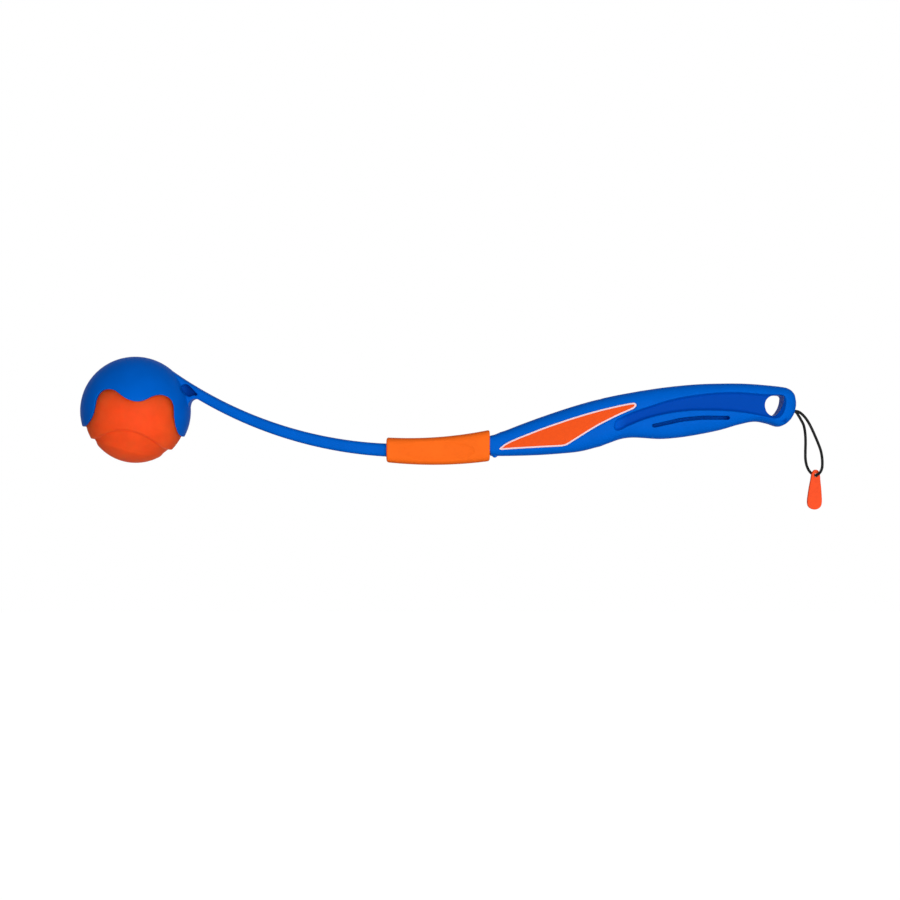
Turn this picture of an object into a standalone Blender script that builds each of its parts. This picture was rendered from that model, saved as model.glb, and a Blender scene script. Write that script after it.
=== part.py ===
"""Fold-up dog ball thrower, in metres.

+X runs along the thrower to the handle's end, +Z is up and Y is across it; the side that the label's front
is on faces -Y. The origin is in the middle of the palm grip. A curved arm with a ball cup folds under the
handle on a pin, and a sleeve that slides along the arm locks the fold.
"""

import math

import bmesh
import bpy
from mathutils import Matrix, Vector

# Gaps between pieces that touch, turn or slide, and how far cutters run past what they cut
SEAT_GAP = 0.0003
SWING_GAP = 0.0004
OVERRUN = 0.0020
LONG_OVERRUN = 0.0200

# Points closer than this are one
WELD = 0.00001

# Handle
HANDLE_LENGTH = 0.1953
HANDLE_RISE = 0.0463
HANDLE_WIDTH = 0.0220
GRIP_FROM_NOSE = 0.1280
GRIP_ABOVE_NOSE = 0.0201
NOSE_TILT = math.radians(11.83)
HANDLE_SQUARENESS = 3.2

# Length share from the nose, top and bottom as shares of the rise, and width share
HANDLE_STATION_SHARES = (
    (0.000, 0.086, -0.193, 0.70),
    (0.033, 0.134, -0.196, 0.74),
    (0.098, 0.236, -0.192, 0.82),
    (0.164, 0.338, -0.182, 0.88),
    (0.229, 0.432, -0.163, 0.93),
    (0.295, 0.519, -0.133, 0.96),
    (0.361, 0.591, -0.064, 0.98),
    (0.393, 0.624, -0.012, 0.99),
    (0.426, 0.653, 0.036, 1.00),
    (0.459, 0.678, 0.057, 1.00),
    (0.492, 0.704, 0.055, 1.00),
    (0.557, 0.744, 0.039, 1.00),
    (0.623, 0.776, 0.061, 1.00),
    (0.688, 0.797, 0.105, 0.99),
    (0.754, 0.805, 0.164, 0.97),
    (0.819, 0.805, 0.242, 0.95),
    (0.869, 0.794, 0.278, 0.94),
    (0.910, 0.779, 0.247, 0.93),
    (0.942, 0.765, 0.207, 0.91),
    (0.967, 0.748, 0.247, 0.85),
    (0.983, 0.715, 0.312, 0.74),
    (0.994, 0.662, 0.392, 0.56),
    (1.000, 0.579, 0.480, 0.30),
)
RING_POINTS = 24

# Outlines on the handle's sides, as shares of its length and rise from the nose
CHANNEL_OUTLINE_SHARES = (
    (0.402, 0.196),
    (0.406, 0.283),
    (0.427, 0.342),
    (0.456, 0.397),
    (0.522, 0.494),
    (0.587, 0.578),
    (0.652, 0.631),
    (0.726, 0.669),
    (0.796, 0.680),
    (0.865, 0.660),
    (0.904, 0.651),
    (0.932, 0.652),
    (0.950, 0.644),
    (0.958, 0.610),
    (0.9605, 0.560),
    (0.959, 0.495),
    (0.954, 0.420),
    (0.945, 0.357),
    (0.934, 0.325),
    (0.920, 0.318),
    (0.902, 0.335),
    (0.865, 0.367),
    (0.819, 0.402),
    (0.759, 0.425),
    (0.680, 0.431),
    (0.633, 0.421),
    (0.564, 0.378),
    (0.508, 0.318),
    (0.448, 0.220),
    (0.419, 0.162),
    (0.406, 0.161),
)
HANGING_HOLE_SHARES = (
    (0.929, 0.640),
    (0.914, 0.628),
    (0.904, 0.602),
    (0.897, 0.563),
    (0.894, 0.508),
    (0.896, 0.450),
    (0.903, 0.394),
    (0.913, 0.363),
    (0.923, 0.352),
    (0.932, 0.371),
    (0.942, 0.421),
    (0.951, 0.498),
    (0.955, 0.570),
    (0.955, 0.625),
    (0.945, 0.640),
)
LABEL_OUTLINE_SHARES = (
    (0.029, -0.101),
    (0.030, -0.087),
    (0.046, -0.032),
    (0.064, 0.010),
    (0.096, 0.068),
    (0.129, 0.122),
    (0.161, 0.176),
    (0.193, 0.225),
    (0.226, 0.272),
    (0.258, 0.318),
    (0.291, 0.361),
    (0.323, 0.401),
    (0.355, 0.438),
    (0.388, 0.471),
    (0.420, 0.502),
    (0.453, 0.529),
    (0.466, 0.534),
    (0.473, 0.517),
    (0.473, 0.487),
    (0.466, 0.457),
    (0.453, 0.430),
    (0.420, 0.370),
    (0.388, 0.304),
    (0.355, 0.233),
    (0.323, 0.154),
    (0.291, 0.069),
    (0.258, -0.020),
    (0.247, -0.048),
    (0.232, -0.063),
    (0.193, -0.071),
    (0.161, -0.078),
    (0.096, -0.093),
    (0.064, -0.102),
    (0.035, -0.111),
)
SLOT_LINE_SHARES = (
    (0.530, 0.221),
    (0.566, 0.253),
    (0.615, 0.298),
    (0.680, 0.327),
    (0.728, 0.330),
    (0.777, 0.327),
)
CHANNEL_WEB = 0.0150
SLOT_WIDTH = 0.0023
SLOT_WEB = 0.0050
SLOT_PIECES = 10
LABEL_THICKNESS = 0.0006
NUB_RADIUS = 0.0015
NUB_LENGTH = 0.0080
NUB_PLACE_SHARES = (0.0154, -0.187)

# Arm: one arc from the fold to the ball cup
BEND_RADIUS = 0.26125
ARM_DEPTH_AT_FOLD = 0.0084
ARM_DEPTH_AT_CUP = 0.0062
ARM_WIDTH_AT_FOLD = 0.0150
ARM_WIDTH_AT_CUP = 0.0120
ARM_SQUARENESS = 4.0
ARM_TAPER_LENGTH = 0.1500
ARM_RINGS = 26

# Fold hinge
FOLD_FROM_NOSE = 0.0152
PIVOT_BELOW_ARM = 0.0016
KNUCKLE_RADIUS = 0.0021
KNUCKLE_SPAN = 0.0126
CENTRE_KNUCKLE = 0.0042
PIN_RADIUS = 0.0009
NECK_MARGIN = 0.0001
TONGUE_BELOW_PIVOT = 0.0010
TONGUE_BELOW_TOP = 0.0005
TONGUE_ROOT = 0.0040

# Lock sleeve; its walls above and below the arm at the cup's end and at the handle's
SLEEVE_LENGTH = 0.0657
SLEEVE_FIT = 0.0004
SLEEVE_TOP_WALLS = (0.0035, 0.0030)
SLEEVE_FLOOR_WALLS = (0.0032, 0.0027)
SLEEVE_SETBACK = 0.0003
SLEEVE_EDGE = 0.0012
SLEEVE_SQUARENESS = 4.0
CAVITY_SQUARENESS = 6.0
SLEEVE_RINGS = 12
DIMPLE_LENGTH = 0.0462
DIMPLE_HEIGHT = 0.0136
DIMPLE_DEPTH = 0.0015
DIMPLE_DROP = 0.0012

# Ball cup and ball
BALL_RADIUS = 0.03187
BALL_WALL = 0.0050
BALL_CHANNEL_DEPTH = 0.0018
BALL_CAP_DEPTH = 0.0010
BALL_STEP_WIDTH = 0.0012
BALL_VENT_RADIUS = 0.0010
ARM_LENGTH = 0.21926
CUP_DROP = 0.0314
CUP_WALL = 0.0026
CROWN_EXTRA = 0.0023
FILLET_RADIUS = 0.0040
POCKET_WEB = 0.0030
POCKET_SETBACK = 0.0035
POCKET_HIGH_ANGLE = math.radians(28.0)
POCKET_LOW_ANGLE = math.radians(15.0)

# The ball's two seam lines, as cosine terms of height over radius round the ball
UPPER_SEAM_SHARES = (-0.505, -0.108, -0.138, -0.003, 0.032)
LOWER_SEAM_SHARES = (-0.716, -0.142, 0.008, 0.023, -0.016)

# The cup's wavy edge in side view, as shares of its outer radius from its centre
CUP_EDGE_SHARES = (
    (-1.150, -0.293),
    (-0.874, -0.288),
    (-0.805, -0.272),
    (-0.742, -0.232),
    (-0.642, -0.125),
    (-0.583, 0.030),
    (-0.552, 0.186),
    (-0.509, 0.280),
    (-0.437, 0.347),
    (-0.327, 0.371),
    (-0.214, 0.353),
    (-0.140, 0.309),
    (-0.048, 0.241),
    (0.039, 0.190),
    (0.140, 0.156),
    (0.205, 0.148),
    (0.286, 0.158),
    (0.365, 0.191),
    (0.442, 0.236),
    (0.518, 0.264),
    (0.592, 0.273),
    (0.667, 0.255),
    (0.743, 0.201),
    (0.786, 0.113),
    (0.801, -0.006),
    (0.803, -0.140),
    (0.808, -0.247),
    (0.823, -0.348),
    (0.849, -0.455),
    (0.878, -0.482),
    (1.150, -0.484),
    (1.150, -1.150),
    (-1.150, -1.150),
)

# Wrist loop and pull tab
CORD_DIAMETER = 0.00175
ANCHOR_RADIUS = 0.0021
ANCHOR_LENGTH = 0.0042
ANCHOR_PLACE_SHARES = (0.990, 0.424)
CORD_STEP = 0.0018
TAB_LENGTH = 0.0254
TAB_THICKNESS = 0.0026
TAB_HOLE_RADIUS = 0.0013
TAB_HOLE_FROM_TOP = 0.0035
TAB_HOLE = Vector((0.0803, 0, -0.0415))
TAB_LEAN = math.radians(2.5)

# Half widths down the tab, as shares of its length
TAB_HALF_WIDTH_SHARES = (
    (0.000, 0.030),
    (0.030, 0.067),
    (0.096, 0.097),
    (0.280, 0.125),
    (0.460, 0.152),
    (0.650, 0.173),
    (0.750, 0.182),
    (0.830, 0.181),
    (0.905, 0.164),
    (0.956, 0.125),
    (0.988, 0.070),
    (1.000, 0.020),
)

# The loop's route from the anchor, behind the tab, through its hole and back, as x, y, z
CORD_ROUTE = (
    (0.0656, 0.0010, -0.0005),
    (0.0673, 0.0010, -0.0006),
    (0.0686, 0.0010, -0.0016),
    (0.0698, 0.0011, -0.0034),
    (0.0712, 0.0012, -0.0058),
    (0.0729, 0.0014, -0.0090),
    (0.0738, 0.0017, -0.0125),
    (0.0743, 0.0020, -0.0165),
    (0.0745, 0.0024, -0.0210),
    (0.0745, 0.0029, -0.0260),
    (0.0747, 0.0036, -0.0308),
    (0.0755, 0.0043, -0.0347),
    (0.0769, 0.0047, -0.0380),
    (0.0786, 0.0044, -0.0402),
    (0.0799, 0.0030, -0.0413),
    (0.0802, 0.0013, -0.0415),
    (0.0804, -0.0013, -0.0415),
    (0.0809, -0.0030, -0.0411),
    (0.0822, -0.0044, -0.0396),
    (0.0833, -0.0047, -0.0370),
    (0.0837, -0.0042, -0.0338),
    (0.0836, -0.0036, -0.0298),
    (0.0830, -0.0030, -0.0258),
    (0.0816, -0.0025, -0.0215),
    (0.0796, -0.0021, -0.0165),
    (0.0773, -0.0017, -0.0112),
    (0.0751, -0.0014, -0.0070),
    (0.0727, -0.0012, -0.0037),
    (0.0700, -0.0010, -0.0013),
    (0.0678, -0.0010, -0.0005),
    (0.0656, -0.0010, -0.0005),
)

# Placing: the arc's centre follows from the nose, and everything on the arm from the arc
NOSE = Vector((-GRIP_FROM_NOSE, 0, -GRIP_ABOVE_NOSE))
ARC_CENTRE = NOSE + BEND_RADIUS * Vector((-math.sin(NOSE_TILT), 0, math.cos(NOSE_TILT)))
PIVOT_DROP = ARM_DEPTH_AT_FOLD / 2 + PIVOT_BELOW_ARM
CUP_INNER_RADIUS = BALL_RADIUS + SEAT_GAP
CUP_OUTER_RADIUS = CUP_INNER_RADIUS + CUP_WALL


def arc_angle(run):
    return NOSE_TILT - run / BEND_RADIUS


def arc_point(run, drop=0.0):
    """The point run along the arm from the nose, and drop below the arm's centre line."""
    angle = arc_angle(run)
    return ARC_CENTRE + (BEND_RADIUS + drop) * Vector((math.sin(angle), 0, -math.cos(angle)))


def arc_height(x, drop):
    """The height at x of the arc that lies drop below the arm's centre line."""
    return ARC_CENTRE.z - math.sqrt((BEND_RADIUS + drop) ** 2 - (x - ARC_CENTRE.x) ** 2)


def handle_point(shares):
    return NOSE + Vector((HANDLE_LENGTH * shares[0], 0, HANDLE_RISE * shares[1]))


PIVOT = arc_point(FOLD_FROM_NOSE, PIVOT_DROP)
CUP_CENTRE = arc_point(ARM_LENGTH, CUP_DROP)
BALL_CENTRE = CUP_CENTRE - Vector((0, 0, CROWN_EXTRA))
ANCHOR = handle_point(ANCHOR_PLACE_SHARES)


def clear_scene():
    for old in list(bpy.data.objects):
        bpy.data.objects.remove(old)


def new_collection(name):
    collection = bpy.data.collections.new(name)
    bpy.context.scene.collection.children.link(collection)
    return collection


clear_scene()
PARTS = new_collection("dog_ball_thrower")
CUTTERS = new_collection("cutters")


def finish(name, colour, roughness):
    """A material of one colour for a moulded or drawn piece."""
    material = bpy.data.materials.new(name)
    material.use_nodes = True
    shader = material.node_tree.nodes["Principled BSDF"]
    shader.inputs["Base Color"].default_value = (*colour, 1)
    shader.inputs["Roughness"].default_value = roughness
    return material


BLUE = finish("handle_polypropylene", (0.002, 0.110, 0.600), 0.38)
ARM_BLUE = finish("arm_polypropylene", (0.002, 0.110, 0.600), 0.36)
SLEEVE_ORANGE = finish("sleeve_polypropylene", (1.0, 0.150, 0.014), 0.42)
BALL_ORANGE = finish("ball_rubber", (1.0, 0.105, 0.022), 0.55)
LABEL_FRONT_ORANGE = finish("label_front_print", (0.95, 0.090, 0.025), 0.35)
LABEL_BACK_ORANGE = finish("label_back_print", (0.95, 0.090, 0.025), 0.35)
PIN_STEEL = finish("pin_steel", (0.55, 0.55, 0.57), 0.30)
CORD_BLACK = finish("cord_elastic", (0.010, 0.010, 0.012), 0.70)
ANCHOR_BLACK = finish("anchor_nylon", (0.015, 0.015, 0.018), 0.45)
TAB_ORANGE = finish("tab_rubber", (1.0, 0.060, 0.015), 0.45)


def place(obj, material=None, origin=None):
    """Puts a shape with the parts, its origin where it turns, or with the cutters if it has no material."""
    if origin is not None:
        obj.data.transform(Matrix.Translation(-origin))
        obj.location = origin
    if material is None:
        obj.hide_render = True
        obj.display_type = "WIRE"
        CUTTERS.objects.link(obj)
        return obj
    obj.data.materials.clear()
    obj.data.materials.append(material)
    obj.data.shade_smooth()
    obj.data.set_sharp_from_angle(angle=math.radians(35))
    PARTS.objects.link(obj)
    return obj


def from_bmesh(name, shape):
    bmesh.ops.recalc_face_normals(shape, faces=shape.faces)
    mesh = bpy.data.meshes.new(name)
    shape.to_mesh(mesh)
    shape.free()
    return bpy.data.objects.new(name, mesh)


def boolean(target, cutter, operation="DIFFERENCE"):
    modifier = target.modifiers.new(cutter.name, "BOOLEAN")
    modifier.object = cutter
    modifier.operation = operation
    modifier.solver = "EXACT"


def section(point, up, half_width, half_height, squareness):
    """A closed rounded section across the piece, round a point."""
    power = 2 / squareness
    ring = []
    for step in range(RING_POINTS):
        turn = 2 * math.pi * (step + 0.5) / RING_POINTS
        across, high = math.cos(turn), math.sin(turn)
        across = math.copysign(abs(across) ** power, across) * half_width
        high = math.copysign(abs(high) ** power, high) * half_height
        ring.append(point + Vector((0, across, 0)) + up * high)
    return ring


def loft(name, rings):
    """A closed solid through sections of unlike size."""
    shape = bmesh.new()
    rows = [[shape.verts.new(point) for point in ring] for ring in rings]
    for row, following in zip(rows, rows[1:]):
        for step in range(RING_POINTS):
            after = (step + 1) % RING_POINTS
            shape.faces.new((row[step], row[after], following[after], following[step]))
    shape.faces.new(rows[0])
    shape.faces.new(rows[-1])
    return from_bmesh(name, shape)


def prism(name, outline, low, high, smooth=True):
    """A flat outline in the side view, extruded across from y low to y high."""
    curve = bpy.data.curves.new(name, "CURVE")
    curve.dimensions = "2D"
    curve.fill_mode = "BOTH"
    curve.extrude = (high - low) / 2
    curve.resolution_u = 2
    spline = curve.splines.new("BEZIER")
    spline.bezier_points.add(len(outline) - 1)
    for knot, point in zip(spline.bezier_points, outline):
        knot.co = (point.x, point.z, 0)
        kind = "AUTO" if smooth else "VECTOR"
        knot.handle_left_type = kind
        knot.handle_right_type = kind
    spline.use_cyclic_u = True
    upright = Matrix.Translation((0, (high + low) / 2, 0)) @ Matrix.Rotation(math.pi / 2, 4, "X")
    return as_mesh(name, curve, upright)


def as_mesh(name, curve, matrix):
    """A curve made a closed mesh with its caps welded."""
    guide = bpy.data.objects.new(name + "_guide", curve)
    bpy.context.scene.collection.objects.link(guide)
    mesh = bpy.data.meshes.new_from_object(guide.evaluated_get(bpy.context.evaluated_depsgraph_get()))
    bpy.data.objects.remove(guide)
    mesh.transform(matrix)
    shape = bmesh.new()
    shape.from_mesh(mesh)
    bmesh.ops.remove_doubles(shape, verts=shape.verts, dist=WELD)
    return from_bmesh(name, shape)


def cross_rod(name, centre, radius, low, high, sides=32):
    """A round bar across the piece, from y low to y high."""
    middle = centre + Vector((0, (high + low) / 2, 0))
    shape = bmesh.new()
    bmesh.ops.create_cone(
        shape, cap_ends=True, segments=sides, radius1=radius, radius2=radius, depth=high - low,
        matrix=Matrix.Translation(middle) @ Matrix.Rotation(math.pi / 2, 4, "X"),
    )
    return from_bmesh(name, shape)


def sphere(name, centre, radius, sides, rows):
    shape = bmesh.new()
    bmesh.ops.create_uvsphere(
        shape, u_segments=sides, v_segments=rows, radius=radius, matrix=Matrix.Translation(centre)
    )
    return from_bmesh(name, shape)


def smooth_between(values, share):
    """A smooth value at share along a list of rows whose first entry is the share."""
    rows = [values[0], *values, values[-1]]
    for before, left, right, after in zip(rows, rows[1:], rows[2:], rows[3:]):
        if left[0] <= share <= right[0] and left[0] < right[0]:
            t = (share - left[0]) / (right[0] - left[0])
            result = []
            for p0, p1, p2, p3 in list(zip(before, left, right, after))[1:]:
                bend = t * (p2 - p0 + t * (2 * p0 - 5 * p1 + 4 * p2 - p3 + t * (3 * p1 - p0 - 3 * p2 + p3)))
                result.append(p1 + bend / 2)
            return result
    return list(values[-1][1:])


def handle_form(name, inset=0.0):
    """The handle's outer form, or a smaller copy that lies inset below its surface."""
    shares = []
    for left, right in zip(HANDLE_STATION_SHARES, HANDLE_STATION_SHARES[1:]):
        shares += [left[0], (left[0] + right[0]) / 2]
    rings = []
    for share in [*shares, 1.0]:
        top, bottom, width = smooth_between(HANDLE_STATION_SHARES, share)
        centre = handle_point((share, (top + bottom) / 2))
        half_height = HANDLE_RISE * (top - bottom) / 2 - inset
        half_width = HANDLE_WIDTH * width / 2 - inset
        rings.append(section(centre, Vector((0, 0, 1)), half_width, half_height, HANDLE_SQUARENESS))
    return loft(name, rings)


def side_outline(shares):
    return [handle_point(pair) for pair in shares]


def slot_outline():
    """The grip slot: a narrow strip along its own line, round at its low end."""
    first, last = SLOT_LINE_SHARES[0][0], SLOT_LINE_SHARES[-1][0]
    shares = [first + (last - first) * step / SLOT_PIECES for step in range(SLOT_PIECES + 1)]
    line = [handle_point((share, *smooth_between(SLOT_LINE_SHARES, share))) for share in shares]
    upper, lower, low_end = [], [], []
    for i, point in enumerate(line):
        along = (line[min(i + 1, len(line) - 1)] - line[max(i - 1, 0)]).normalized()
        off = Vector((-along.z, 0, along.x)) * SLOT_WIDTH / 2
        upper.append(point + off)
        lower.append(point - off)
    off = upper[0] - line[0]
    back = Vector((-off.z, 0, off.x))
    for step in range(1, 6):
        turn = math.pi * step / 6
        low_end.append(line[0] - off * math.cos(turn) + back * math.sin(turn))
    return upper + lower[::-1] + low_end


def grown(outline, margin):
    """The same outline, margin wider all round."""
    wider = []
    for i, point in enumerate(outline):
        along = (outline[(i + 1) % len(outline)] - outline[i - 1]).normalized()
        wider.append(point + Vector((along.z, 0, -along.x)) * -margin)
    return wider


def build_handle():
    half = HANDLE_WIDTH / 2 + OVERRUN
    handle = place(handle_form("handle"), BLUE)

    top = TONGUE_BELOW_TOP - ARM_DEPTH_AT_FOLD / 2
    bottom = PIVOT_DROP + TONGUE_BELOW_PIVOT
    rings = []
    for run in (FOLD_FROM_NOSE - SEAT_GAP / 2, FOLD_FROM_NOSE / 2, 0.0, -TONGUE_ROOT):
        up = (ARC_CENTRE - arc_point(run)).normalized()
        centre = arc_point(run, (top + bottom) / 2)
        rings.append(section(centre, up, ARM_WIDTH_AT_FOLD / 2, (bottom - top) / 2, ARM_SQUARENESS))
    boolean(handle, place(loft("tongue", rings)), "UNION")

    centre_half = CENTRE_KNUCKLE / 2
    clear = centre_half + SWING_GAP
    outer_knuckles = cross_rod("outer_knuckles", PIVOT, KNUCKLE_RADIUS, -KNUCKLE_SPAN / 2, KNUCKLE_SPAN / 2)
    boolean(handle, place(outer_knuckles), "UNION")
    neck_reach = KNUCKLE_RADIUS + SWING_GAP + NECK_MARGIN
    swing = cross_rod("centre_knuckle_room", PIVOT, neck_reach + SWING_GAP, -clear, clear)
    boolean(handle, place(swing))
    boolean(handle, pin_bore())

    nub_place = handle_point(NUB_PLACE_SHARES)
    nub = cross_rod("sleeve_stop_nub", nub_place, NUB_RADIUS, -NUB_LENGTH / 2, NUB_LENGTH / 2)
    boolean(handle, place(nub), "UNION")

    for side in (-1, 1):
        low, high = sorted((side * CHANNEL_WEB / 2, side * half))
        channel = prism(f"channel_{side}", side_outline(CHANNEL_OUTLINE_SHARES), low, high)
        boolean(handle, place(channel))
        low, high = sorted((side * SLOT_WEB / 2, side * half))
        boolean(handle, place(prism(f"slot_{side}", slot_outline(), low, high, False)))
    hole = prism("hanging_hole", side_outline(HANGING_HOLE_SHARES), -half, half)
    boolean(handle, place(hole))

    room = handle_form("label_floor", LABEL_THICKNESS + SEAT_GAP)
    around_label = grown(side_outline(LABEL_OUTLINE_SHARES), SEAT_GAP)
    recess = prism("label_recess", around_label, -half, half, False)
    boolean(recess, place(room))
    boolean(handle, place(recess))

    back = ANCHOR.x - ANCHOR_LENGTH - SEAT_GAP
    bore = end_bar("anchor_bore", ANCHOR_RADIUS + SEAT_GAP, back, ANCHOR.x + LONG_OVERRUN)
    boolean(handle, place(bore))


def end_bar(name, radius, start, end, sides=24):
    """A round bar along the thrower at the anchor's height, from x start to x end."""
    middle = Vector(((start + end) / 2, ANCHOR.y, ANCHOR.z))
    shape = bmesh.new()
    bmesh.ops.create_cone(
        shape, cap_ends=True, segments=sides, radius1=radius, radius2=radius, depth=end - start,
        matrix=Matrix.Translation(middle) @ Matrix.Rotation(math.pi / 2, 4, "Y"),
    )
    return from_bmesh(name, shape)


def pin_bore():
    """The pin's bore, one cutter for the handle's knuckles and the arm's."""
    known = bpy.data.objects.get("pin_bore")
    if known:
        return known
    half = KNUCKLE_SPAN / 2 + OVERRUN
    return place(cross_rod("pin_bore", PIVOT, PIN_RADIUS + SEAT_GAP, -half, half, 20))


def build_pin():
    half = KNUCKLE_SPAN / 2 - SEAT_GAP
    place(cross_rod("hinge_pin", PIVOT, PIN_RADIUS, -half, half, 20), PIN_STEEL)


def build_labels():
    outline = side_outline(LABEL_OUTLINE_SHARES)
    form = place(handle_form("label_form"))
    core = place(handle_form("label_core", LABEL_THICKNESS))
    half = HANDLE_WIDTH / 2 + OVERRUN
    sides = (("label_front", -1, LABEL_FRONT_ORANGE), ("label_back", 1, LABEL_BACK_ORANGE))
    for name, side, material in sides:
        low, high = sorted((0.0, side * half))
        label = place(prism(name, outline, low, high, False), material)
        boolean(label, form, "INTERSECT")
        boolean(label, core)


def taper(start, end, run):
    share = min(1.0, max(0.0, (run - SLEEVE_LENGTH) / ARM_TAPER_LENGTH))
    return start + (end - start) * share


def meeting_angle(reach, cup_reach):
    """The angle at the arc's centre from the cup to where the two circles of those reaches meet."""
    apart = BEND_RADIUS + CUP_DROP
    return math.acos((reach**2 + apart**2 - cup_reach**2) / (2 * reach * apart))


def arm_end():
    """The run at which the arm's top meets the cup."""
    return ARM_LENGTH - meeting_angle(BEND_RADIUS - ARM_DEPTH_AT_CUP / 2, CUP_OUTER_RADIUS) * BEND_RADIUS


def build_arm():
    start = FOLD_FROM_NOSE + SEAT_GAP / 2
    end = arm_end()
    rings = []
    for step in range(ARM_RINGS):
        run = start + (end - start) * step / (ARM_RINGS - 1)
        up = (ARC_CENTRE - arc_point(run)).normalized()
        half_width = taper(ARM_WIDTH_AT_FOLD, ARM_WIDTH_AT_CUP, run) / 2
        half_height = taper(ARM_DEPTH_AT_FOLD, ARM_DEPTH_AT_CUP, run) / 2
        rings.append(section(arc_point(run), up, half_width, half_height, ARM_SQUARENESS))
    arm = place(loft("launcher_arm", rings), ARM_BLUE, PIVOT)

    boolean(arm, place(sphere("cup_outside", CUP_CENTRE, CUP_OUTER_RADIUS, 44, 24)), "UNION")
    gusset_half = ARM_WIDTH_AT_CUP / 2
    boolean(arm, place(prism("gusset", gusset_outline(), -gusset_half, gusset_half, False)), "UNION")
    for side in (-1, 1):
        low, high = sorted((side * POCKET_WEB / 2, side * ARM_WIDTH_AT_CUP))
        boolean(arm, place(prism(f"pocket_{side}", pocket_outline(), low, high)))
    boolean(arm, place(sphere("cup_inside", BALL_CENTRE, CUP_INNER_RADIUS, 40, 22)))
    edge = [CUP_CENTRE + CUP_OUTER_RADIUS * Vector((x, 0, z)) for x, z in CUP_EDGE_SHARES]
    reach = CUP_OUTER_RADIUS + OVERRUN
    boolean(arm, place(prism("cup_window", edge, -reach, reach)))

    outer = KNUCKLE_SPAN / 2 + OVERRUN
    inner = CENTRE_KNUCKLE / 2
    for side in (-1, 1):
        low, high = sorted((side * inner, side * outer))
        room = cross_rod(f"outer_knuckle_room_{side}", PIVOT, KNUCKLE_RADIUS + SWING_GAP, low, high)
        boolean(arm, place(room))
    knuckle = cross_rod("centre_knuckle", PIVOT, KNUCKLE_RADIUS, SEAT_GAP - inner, inner - SEAT_GAP)
    boolean(arm, place(knuckle), "UNION")
    boolean(arm, place(neck(inner - 2 * SEAT_GAP)), "UNION")
    boolean(arm, pin_bore())


def neck(half):
    """The short web that ties the centre knuckle to the arm."""
    reach = KNUCKLE_RADIUS + SWING_GAP
    high = PIVOT_BELOW_ARM + KNUCKLE_RADIUS
    corners = ((SEAT_GAP, -SEAT_GAP), (reach, -SEAT_GAP), (reach, high), (SEAT_GAP, high))
    outline = [arc_point(FOLD_FROM_NOSE + run, PIVOT_DROP - rise) for run, rise in corners]
    return prism("neck", outline, -half, half, False)


def fillet_centre():
    low = BEND_RADIUS + ARM_DEPTH_AT_CUP / 2
    angle = meeting_angle(low + FILLET_RADIUS, CUP_OUTER_RADIUS + FILLET_RADIUS)
    run = ARM_LENGTH - angle * BEND_RADIUS
    return run, arc_point(run, ARM_DEPTH_AT_CUP / 2 + FILLET_RADIUS)


def gusset_outline():
    """The web under the arm where it runs into the cup, with a hollow round underside."""
    run, centre = fillet_centre()
    on_arm = arc_point(run, ARM_DEPTH_AT_CUP / 2)
    on_cup = CUP_CENTRE + CUP_OUTER_RADIUS * (centre - CUP_CENTRE).normalized()
    first = (on_arm - centre).normalized()
    last = (on_cup - centre).normalized()
    bend = []
    for step in range(7):
        share = step / 6
        bend.append(centre + FILLET_RADIUS * first.slerp(last, share))
    inside_cup = CUP_CENTRE + (CUP_INNER_RADIUS + CUP_WALL / 3) * (centre - CUP_CENTRE).normalized()
    return [arc_point(run), *bend, inside_cup, arc_point(arm_end())]


def pocket_outline():
    """The three-cornered core-out beside the cup."""
    run = fillet_centre()[0]
    high = Vector((math.cos(POCKET_HIGH_ANGLE), 0, math.sin(POCKET_HIGH_ANGLE)))
    low = Vector((math.cos(POCKET_LOW_ANGLE), 0, math.sin(POCKET_LOW_ANGLE)))
    return [
        CUP_CENTRE + CUP_OUTER_RADIUS * high,
        arc_point(run + POCKET_SETBACK),
        arc_point(run + POCKET_SETBACK / 2, ARM_DEPTH_AT_CUP / 6),
        arc_point(run + POCKET_SETBACK, ARM_DEPTH_AT_CUP / 3),
        CUP_CENTRE + (CUP_OUTER_RADIUS + CUP_WALL / 5) * low,
    ]


def sleeve_rings(left, right, edges, squareness, half_width):
    """Upright sections between two arcs; edges gives how far each end ring is drawn in."""
    rings = []
    for x, inset in edges:
        share = min(1.0, max(0.0, (x - left[0]) / (right[0] - left[0])))
        top = arc_height(x, left[1] + (right[1] - left[1]) * share)
        bottom = arc_height(x, left[2] + (right[2] - left[2]) * share)
        centre = Vector((x, 0, (top + bottom) / 2))
        half_height = (top - bottom) / 2
        rings.append(section(centre, Vector((0, 0, 1)), half_width - inset, half_height - inset, squareness))
    return rings


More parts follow.
